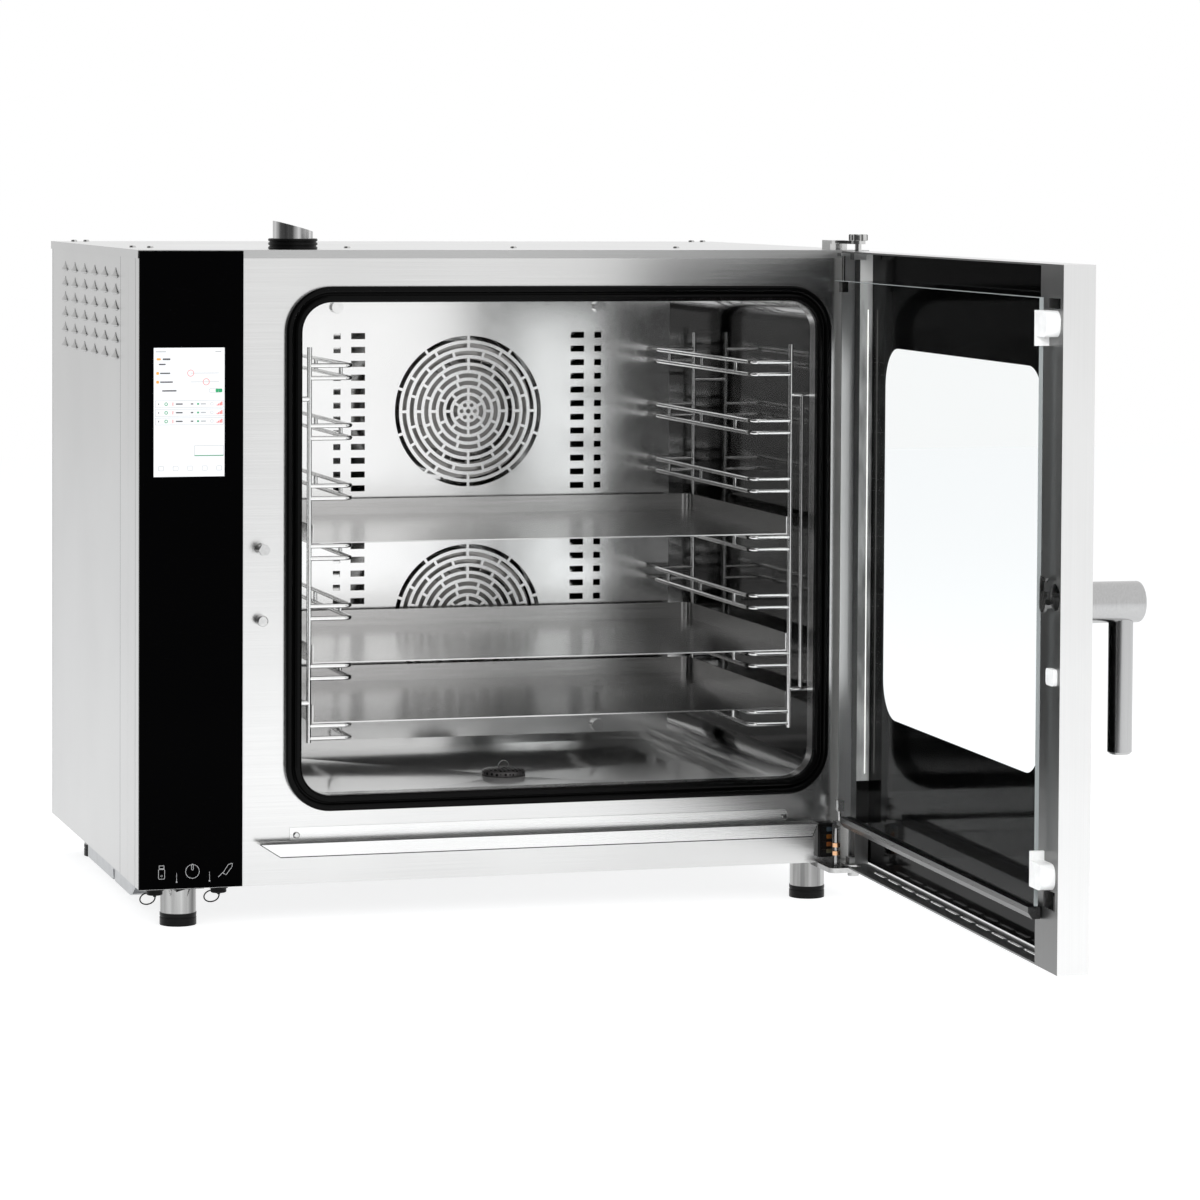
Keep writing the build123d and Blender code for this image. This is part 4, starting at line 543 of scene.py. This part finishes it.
for row in (0.436, 0.503, 0.570):
    grey_marks.append((0.505, row, 82, 8.4, 1.0, 0.3))
    grey_marks += [(0.70, row, 6, 1.3, 0.3, 0), (0.82, row, 3.6, 3.6, 1.7, 0.3)]
    dark_marks += [(0.07, row, 1.0, 1.8, 0.2, 0), (0.36, row, 8, 1.5, 0.3, 0), (0.54, row, 3, 1.5, 0.3, 0)]
    green_marks += [(0.175, row, 4.0, 4.0, 1.9, 0.8), (0.625, row, 2.4, 2.0, 0.4, 0)]
    red_marks += [(0.27, row, 0.8, 4.0, 0.3, 0)]
    for bar in range(4):
        red_marks.append((0.895 + bar * 0.022, row + 0.010 - bar * 0.004, 1.3, 1.2 + bar * 1.1, 0.1, 0))
for button in range(5):
    grey_marks.append((0.105 + button * 0.205, 0.935, 6.4, 5.6, 1.2, 0.35))
screen_marks("screen_grey", (0.38, 0.39, 0.40), 0.0, grey_marks)
screen_marks("screen_dark", (0.07, 0.07, 0.075), 0.0, dark_marks)
screen_marks("screen_red", (0.72, 0.12, 0.11), 0.1, red_marks)
screen_marks("screen_green", (0.02, 0.30, 0.12), 0.1, green_marks)
screen_marks("screen_amber", (0.80, 0.33, 0.06), 0.1, amber_marks)


# Drip gutter under the mouth: brushed sheet folded to a trough, its ends cut on a slant.
# A strip along its top edge is screwed to the fascia. Its folds and cut ends get thin dark lines of painted shadow.
gutter_steel = sheet_metal("gutter_brushed_steel", (0.88, 0.88, 0.875), 0.26, (6, 900, 900))
coat(gutter_steel, "drip_gutter")
gutter_low, gutter_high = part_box("drip_gutter")
fold_top = gutter_low[2] + 17 * MM
fold_low = gutter_low[2] + 0.7 * MM
left_end, right_end = gutter_low[0] + 1 * MM, gutter_high[0] - 1 * MM
left_foot, right_foot = gutter_low[0] + 26 * MM, gutter_high[0] - 8 * MM
fold_line = 1.2 * MM
slant_line = fold_line * 0.8
# Painted shadow: thin dark lines along the gutter's folds and slanted cut ends.
gutter_fold_shadows = [
    (mark_line, (left_end, fold_top, right_end, fold_top, fold_line)),
    (mark_line, (left_foot, fold_low, right_foot, fold_low, fold_line)),
    (mark_line, (left_end, fold_top, left_foot, fold_low, slant_line)),
    (mark_line, (right_end, fold_top, right_foot, fold_low, slant_line)),
]
fold_shade = sheet_metal("fold_shadow_steel", (0.10, 0.10, 0.10), 0.4, (6, 900, 900))
print_marks("gutter_fold_shadows", gutter_fold_shadows, gutter_low[1] - 0.08 * MM, fold_shade)


# Left side panel: one upright brushed sheet with a thin fold line near its front, its groove painted dark as shadow.
# Near its top it has 36 pressed scoops, pointed above and round below, open at the foot. The scoops are painted
# darker than the sheet as their shade, and their open feet painted dark as shadow.
panel_low, panel_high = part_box("side_panel_left")
scoop_rise = 4.0 * MM
scoop_half_width = 18 * MM
scoop_columns, scoop_rows = 6, 6
scoop_pitch_y, scoop_pitch_z = 74.3 * MM, 19.6 * MM
panel_face = panel_low[0] + scoop_rise
first_scoop = (panel_face, -155.6 * MM, 771.5 * MM)
panel_size = (panel_high[0] - panel_face, panel_high[1] - panel_low[1], panel_high[2] - panel_low[2])
panel_middle = (panel_face + panel_size[0] / 2, panel_low[1] + panel_size[1] / 2, panel_low[2] + panel_size[2] / 2)
fold_from_front = 55.0 * MM
fold_width = 1.5 * MM
scoop_disc = 1.2 * MM
scoop_steps = ((1, 2.4, 0.62), (1, 2.8, 0.50), (1, 2.8, 0.42), (1, 2.0, 0.30), (-1, 0.9, 0.86), (-1, 0.7, 0.70))
shade_slot, scoop_shade_slot = 1, 2


def pick_faces(piece, test):
    """In edit mode: selects just the faces whose middle and normal pass the test."""
    bpy.ops.mesh.select_mode(type="FACE")
    bpy.ops.mesh.select_all(action="DESELECT")
    bpy.ops.object.mode_set(mode="OBJECT")
    for face in piece.data.polygons:
        face.select = bool(test(face.center, face.normal))
    bpy.ops.object.mode_set(mode="EDIT")


def draw_out(piece, up, rise, shrink):
    """In edit mode: draws the top, or with up at -1 the foot, out by rise in mm and makes it narrower."""
    pick_faces(piece, lambda middle, normal: normal.z * up > 0.99)
    bpy.ops.mesh.extrude_region_move(TRANSFORM_OT_translate={"value": (0, 0, up * rise * MM)})
    bpy.ops.transform.resize(value=(shrink, shrink, 1), center_override=(0, 0, 0))


side_sheet = start_piece("left_side_sheet")
bpy.ops.mesh.primitive_cylinder_add(vertices=32, radius=scoop_half_width, depth=scoop_disc, location=(0, 0, 0))
for up, rise, shrink in scoop_steps:
    draw_out(side_sheet, up, rise, shrink)
bpy.ops.mesh.select_all(action="SELECT")
bpy.ops.transform.resize(value=(scoop_rise / scoop_half_width, 1, 1), center_override=(0, 0, 0))
bpy.ops.mesh.bisect(plane_co=(0, 0, 0), plane_no=(1, 0, 0), use_fill=True, clear_outer=True)
bpy.ops.mesh.select_all(action="SELECT")
bpy.ops.transform.translate(value=first_scoop)
for column in range(scoop_columns - 1):
    bpy.ops.mesh.duplicate()
    bpy.ops.transform.translate(value=(0, scoop_pitch_y, 0))
bpy.ops.mesh.select_all(action="SELECT")
for row in range(scoop_rows - 1):
    bpy.ops.mesh.duplicate()
    bpy.ops.transform.translate(value=(0, 0, -scoop_pitch_z))
bpy.ops.mesh.select_all(action="SELECT")
bpy.ops.mesh.faces_shade_smooth()
set_aside()
bpy.ops.mesh.primitive_cube_add(size=1, location=panel_middle)
bpy.ops.transform.resize(value=panel_size, center_override=panel_middle)
for fold in (fold_from_front, fold_from_front + fold_width):
    bpy.ops.mesh.select_all(action="SELECT")
    bpy.ops.mesh.bisect(plane_co=(0, panel_low[1] + fold, 0), plane_no=(0, 1, 0))
fold_y = panel_low[1] + fold_from_front + fold_width / 2
pick_faces(side_sheet, lambda middle, normal: abs(middle.y - fold_y) < fold_width / 2 and normal.x < -0.9)
bpy.ops.transform.translate(value=(0.5 * MM, 0, 0))
gather_parts()
end_piece(side_sheet, upright_steel, "oven")
side_sheet.data.materials.append(soft_black("scoop_mouth_and_fold_shadow", (0.10, 0.10, 0.10), 0.6))
side_sheet.data.materials.append(sheet_metal("scoop_painted_shade_steel", (0.47, 0.47, 0.465), 0.34, (900, 900, 5)))
# Painted shadow on the scoops' open feet and in the fold's groove, and painted shade on the scoops themselves.
for face in side_sheet.data.polygons:
    in_fold = abs(face.center.y - fold_y) < fold_width and face.center.x > panel_face + 0.2 * MM
    scoop_mouth = face.center.x < panel_face and face.normal.z < -0.99
    if scoop_mouth or in_fold and face.normal.x < -0.9:
        face.material_index = shade_slot
    elif face.center.x < panel_face - 0.1 * MM:
        face.material_index = scoop_shade_slot
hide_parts("side_panel_left")


# Door: brushed pan, clear inner glass and an outer glass with a black border round its window.
# The lamp bar stands behind the inner glass near the hinge. The handle is a turned barrel
# with a lever that hangs from it, both of brushed steel.
# Painted shade: the door steel's faces that look left in the open pose, the inside of its flange among them, are
# darkened in colour.
door_steel = sheet_metal("door_brushed_steel", (0.80, 0.80, 0.795), 0.32, (900, 900, 5), streak=0.03,
                         left_painted_shade=0.24)
lever_steel = sheet_metal("handle_brushed_steel", (0.50, 0.50, 0.50), 0.20, (1000, 1000, 5), streak=0.10)
coat(door_steel, "door_frame")
coat(sheet_metal("rail_steel", (0.085, 0.085, 0.085), 0.28, (900, 8, 900)), "drip_rail")
coat(lever_steel, "handle_boss", "handle_lever")


def clear_glass(name, tint, shine):
    """A thin pane: it lets light straight through, and its outer faces mirror a share of it."""
    material, tree = blank_material(name)
    place = add_node(tree, "ShaderNodeTexCoord")
    smear = add_node(tree, "ShaderNodeTexNoise", {"Vector": place.outputs["Object"]}, Scale=6.0, Detail=3.0)
    dull = remap(tree, smear.outputs["Fac"], to_low=0.01, to_high=0.025)
    gloss = add_node(tree, "ShaderNodeBsdfGlossy", {"Roughness": dull}, Color=(1, 1, 1, 1))
    through = add_node(tree, "ShaderNodeBsdfTransparent", Color=(*tint, 1))
    edge = add_node(tree, "ShaderNodeFresnel", IOR=1.45)
    side = add_node(tree, "ShaderNodeNewGeometry")
    outer_face = remap(tree, side.outputs["Backfacing"], to_low=shine, to_high=0.0)
    pane = mix_shaders(tree, combine(tree, "MULTIPLY", edge.outputs[0], outer_face), through, gloss)
    add_node(tree, "ShaderNodeOutputMaterial", {"Surface": pane.outputs[0]})
    return material


coat(clear_glass("inner_pane_glass", (0.985, 0.99, 0.99), 0.06), "inner_glass")
coat(clear_glass("outer_pane_glass", (0.985, 0.99, 0.99), 0.04), "outer_glass")


def lamp_housing(name, lens_tone, cap_tone, lens_from, cap_from):
    """The bar's black sides, and its face along the door: black below, then the grey lens, then a bright cap."""
    black = 0.004
    material, tree = blank_material(name)
    place = add_node(tree, "ShaderNodeTexCoord")
    stretch = add_node(tree, "ShaderNodeMapping", {"Vector": place.outputs["Object"]}, Scale=(60, 60, 14))
    patches = add_node(tree, "ShaderNodeTexNoise", {"Vector": stretch.outputs[0]}, Scale=1.0, Detail=2.0)
    lens = remap(tree, patches.outputs["Fac"], 0.35, 0.65, lens_tone * 0.55, lens_tone * 1.5)
    axes = add_node(tree, "ShaderNodeSeparateXYZ", {0: place.outputs["Object"]})
    above_foot = combine(tree, "GREATER_THAN", axes.outputs["Z"], lens_from)
    above_lens = combine(tree, "GREATER_THAN", axes.outputs["Z"], cap_from)
    face_tone = remap(tree, above_foot, to_low=black, to_high=lens)
    face_tone = remap(tree, above_lens, to_low=face_tone, to_high=cap_tone)
    looks = add_node(tree, "ShaderNodeSeparateXYZ", {0: place.outputs["Normal"]})
    on_face = combine(tree, "LESS_THAN", looks.outputs["Y"], -0.6)
    tint = scaled_colour(tree, (1.0, 1.0, 0.98), remap(tree, on_face, to_low=black, to_high=face_tone))
    surface = {"Base Color": tint, "Roughness": 0.3, "Specular IOR Level": 0.15}
    skin = add_node(tree, "ShaderNodeBsdfPrincipled", surface)
    add_node(tree, "ShaderNodeOutputMaterial", {"Surface": skin.outputs[0]})
    return material


coat(lamp_housing("lamp_bar_housing", 0.26, 0.50, 0.155, 0.769), "led_bar")

swing = next(joint for joint in frame["joints"] if joint["name"] == "door_swing")
hinge_place = Vector((swing["pos_m"][0], swing["pos_m"][1], 0))
door_angle = radians(88)
opened = Matrix.Translation(hinge_place) @ Matrix.Rotation(door_angle, 4, "Z") @ Matrix.Translation(-hinge_place)
shut_left = -325 * MM
door_width = 774 * MM
outer_pane_inside = -373.3 * MM


def open_with_door(piece):
    """Turns a piece made on the shut door to where the open door holds it."""
    piece.data.transform(opened)
    piece.data.update()


def on_open_door(piece, material, thick=0.0):
    """Leaves edit mode, turns the piece with the door and finishes it there."""
    bpy.ops.object.mode_set(mode="OBJECT")
    open_with_door(piece)
    bpy.ops.object.mode_set(mode="EDIT")
    end_piece(piece, material, "door", thick)


pane_low, pane_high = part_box("outer_glass")
window_left = shut_left + 145 * MM
window_right = shut_left + 697 * MM
window_low = 241 * MM
window_high = 690 * MM
border_outline = (door_width - 6 * MM, pane_high[2] - pane_low[2] - 2 * MM,
                  shut_left + door_width / 2, (pane_low[2] + pane_high[2]) / 2, 1 * MM)
window_outline = (window_right - window_left, window_high - window_low,
                  (window_left + window_right) / 2, (window_low + window_high) / 2, 47 * MM)
border = start_piece("window_border")
for width, height, x, z, radius in (border_outline, window_outline):
    round_plate(width, height, radius, 12)
    bpy.ops.transform.translate(value=(x, outer_pane_inside + 0.15 * MM, z))
    bpy.ops.mesh.delete(type="ONLY_FACE")
    set_aside()
bpy.ops.mesh.reveal(select=True)
bpy.ops.mesh.select_all(action="SELECT")
bpy.ops.mesh.bridge_edge_loops()
bpy.ops.mesh.normals_make_consistent(inside=False)
border_black = glossy_black("window_border_enamel", (0.0015, 0.0015, 0.0015), 0.05, 0.03)
on_open_door(border, border_black, 0.1 * MM)


# Lamp bar's bright strip and the foot that carries the bar: a bent steel tab with a square ear.
# The strip is a thin clear lens along the bar, the foot is spot-welded to the door's pan.
strip_width, strip_length = 1.4 * MM, 570 * MM
strip_place = (440 * MM, -359.75 * MM, 449 * MM)
foot_x, foot_y = 435.5 * MM, -362.5 * MM
tab_width, tab_height, tab_middle = 17 * MM, 50 * MM, 78 * MM
ear_side, ear_middle, ear_forward = 11 * MM, 96 * MM, 1.3 * MM
foot_corner, foot_sheet = 0.8 * MM, 1.2 * MM

strip = start_piece("lamp_strip")
round_plate(strip_width, strip_length, 0.5 * MM, 3)
bpy.ops.transform.translate(value=strip_place)
end_piece(strip, glowing("lamp_strip_light", (0.90, 0.90, 0.86), 0.7), "door", 0.1 * MM)

lamp_foot = start_piece("lamp_bar_foot")
round_plate(tab_width, tab_height, foot_corner, 3)
bpy.ops.transform.translate(value=(foot_x, foot_y, tab_middle))
set_aside()
round_plate(ear_side, ear_side, foot_corner, 3)
bpy.ops.transform.rotate(value=pi / 4, orient_axis="Y", center_override=(0, 0, 0))
bpy.ops.transform.translate(value=(foot_x, foot_y - ear_forward, ear_middle))
gather_parts()
foot_metal = sheet_metal("lamp_foot_steel", (0.50, 0.50, 0.50), 0.38, (400, 400, 8))
end_piece(lamp_foot, foot_metal, "door", foot_sheet)


# Inner glass edges: painted highlights, thin strips that glow where the ground edges of the pane would catch the
# light.
# They run along the top edge and the free side of the pane, and swing with it.
edge_highlights = start_piece("inner_glass_edge_highlights")
pane_left, pane_right, pane_top, pane_foot, pane_y = -278 * MM, 445 * MM, 769 * MM, 118 * MM, -333.7 * MM
edge_wide, edge_thin = 4.6 * MM, 0.7 * MM
top_edge = ((pane_left + pane_right) / 2, pane_y, pane_top), (pane_right - pane_left, edge_wide, edge_thin)
free_edge = (pane_left, pane_y, (pane_foot + pane_top) / 2), (edge_thin, edge_wide, pane_top - pane_foot)
for middle, size in (top_edge, free_edge):
    bpy.ops.mesh.primitive_cube_add(size=1, location=(0, 0, 0))
    bpy.ops.transform.resize(value=size, center_override=(0, 0, 0))
    bpy.ops.mesh.bevel(offset=0.2 * MM, segments=1, affect="EDGES")
    bpy.ops.transform.translate(value=middle)
    set_aside()
bpy.ops.mesh.reveal(select=True)
bpy.ops.object.mode_set(mode="OBJECT")
open_with_door(edge_highlights)
bpy.ops.object.mode_set(mode="EDIT")
# Painted highlight: the strips glow of themselves, no lamp makes them bright.
end_piece(edge_highlights, glowing("glass_edge_painted_highlight", (0.26, 0.28, 0.28), 0.15), "inner_glass")


# Contacts for the door's lamps, beside the lower hinge: a black block with four sprung pads.
# A steel post with two copper rings stands on the base beside it, and the door is cut out to pass it.
def ringed_metal(name, steel, ring, heights, half):
    """Bright steel with rings of another metal at the given heights."""
    material, tree = blank_material(name)
    place = add_node(tree, "ShaderNodeTexCoord")
    axes = add_node(tree, "ShaderNodeSeparateXYZ", {0: place.outputs["Object"]})
    grain = add_node(tree, "ShaderNodeTexNoise", {"Vector": place.outputs["Object"]}, Scale=300.0, Detail=2.0)
    at_ring = 0.0
    for height in heights:
        at_height = {0: axes.outputs["Z"], 1: height, 2: half}
        near = add_node(tree, "ShaderNodeMath", at_height, operation="COMPARE").outputs[0]
        at_ring = combine(tree, "MAXIMUM", at_ring, near)
    colour = add_node(tree, "ShaderNodeMix", {0: at_ring}, data_type="RGBA")
    colour.inputs[6].default_value = (*steel, 1)
    colour.inputs[7].default_value = (*ring, 1)
    dull = remap(tree, grain.outputs["Fac"], to_low=0.12, to_high=0.3)
    surface = {"Base Color": colour.outputs[2], "Roughness": dull}
    skin = add_node(tree, "ShaderNodeBsdfPrincipled", surface, Metallic=1.0)
    add_node(tree, "ShaderNodeOutputMaterial", {"Surface": skin.outputs[0]})
    return material


ring_heights = (65.5 * MM, 75.5 * MM)
half_ring = 2.6 * MM
post_metal = ringed_metal("contact_post_metal", (0.42, 0.42, 0.42), (0.90, 0.52, 0.30), ring_heights, half_ring)
coat(post_metal, "contact_rings")
pad_width, pad_height, pad_corner, pad_from_right = 7 * MM, 5.4 * MM, 1.2 * MM, 6.5 * MM
pads = (
    (92.5, (0.17, 0.23, 0.28)),
    (83.5, (0.55, 0.22, 0.05)),
    (74.0, (0.50, 0.20, 0.07)),
    (65.5, (0.20, 0.21, 0.15)),
)
block_low, block_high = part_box("contact_block")
for number, (pad_z, tone) in enumerate(pads):
    pad = [(mark_plate, (block_high[0] - pad_from_right, pad_z * MM, pad_width, pad_height, pad_corner, 0))]
    pad_metal = sheet_metal("contact_pad_metal_%d" % number, tone, 0.3, (300, 300, 300), streak=0.2)
    print_marks("contact_pad_%d" % number, pad, block_low[1] - 0.1 * MM, pad_metal, 0.3 * MM)


# Drain strainer in the cavity floor: a low pressed cup full of round holes, lifted out by a wire ring.
# It stands loose in the dished hole of the floor.
def pierced_sheet(name, colour, hole, scale):
    """Sheet metal with dark round holes, drawn by cells of the given scale."""
    material, tree = blank_material(name)
    place = add_node(tree, "ShaderNodeTexCoord")
    cells = add_node(tree, "ShaderNodeTexVoronoi", {"Vector": place.outputs["Object"]}, Scale=scale, Randomness=0.25)
    rim = remap(tree, cells.outputs["Distance"], 0.30, 0.42)
    shade = add_node(tree, "ShaderNodeMix", {0: rim}, data_type="RGBA")
    shade.inputs[6].default_value = (*hole, 1)
    shade.inputs[7].default_value = (*colour, 1)
    skin = add_node(tree, "ShaderNodeBsdfPrincipled", {"Base Color": shade.outputs[2]}, Metallic=0.6, Roughness=0.3)
    bump = add_node(tree, "ShaderNodeBump", {"Height": rim}, Strength=0.5, Distance=0.0006)
    tree.links.new(bump.outputs[0], skin.inputs["Normal"])
    add_node(tree, "ShaderNodeOutputMaterial", {"Surface": skin.outputs[0]})
    return material


strainer_low, strainer_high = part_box("drain_strainer")
strainer_x = (strainer_low[0] + strainer_high[0]) / 2
strainer_y = (strainer_low[1] + strainer_high[1]) / 2
cup_radius, cup_wall, cup_below_knob = 27.4 * MM, 6 * MM, 19.6 * MM
cup_steps = ((2.2, 0.93), (1.6, 0.72), (0.7, 0.40), (0.2, 0.15))
ring_radius, ring_wire, ring_height = 6.6 * MM, 0.7 * MM, 12.6 * MM
cup_foot = strainer_high[2] - cup_below_knob
cup = start_piece("strainer_cup")
bpy.ops.mesh.primitive_cylinder_add(vertices=56, radius=cup_radius, depth=cup_wall, location=(0, 0, cup_wall / 2))
for rise, shrink in cup_steps:
    draw_out(cup, 1, rise, shrink)
bpy.ops.mesh.select_all(action="SELECT")
bpy.ops.transform.translate(value=(strainer_x, strainer_y, cup_foot))
bpy.ops.mesh.faces_shade_smooth()
bpy.ops.mesh.normals_make_consistent(inside=False)
cup_metal = pierced_sheet("strainer_pierced_sheet", (0.20, 0.19, 0.19), (0.004, 0.004, 0.004), 190)
end_piece(cup, cup_metal, "strainer")
lift_ring = start_piece("strainer_ring")
bpy.ops.mesh.primitive_torus_add(major_radius=ring_radius, minor_radius=ring_wire,
                                 major_segments=32, minor_segments=8, rotation=(pi / 2, 0, 0),
                                 location=(strainer_x, strainer_y, cup_foot + ring_height))
bpy.ops.mesh.faces_shade_smooth()
end_piece(lift_ring, dark_chrome, "strainer")
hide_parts("drain_strainer")
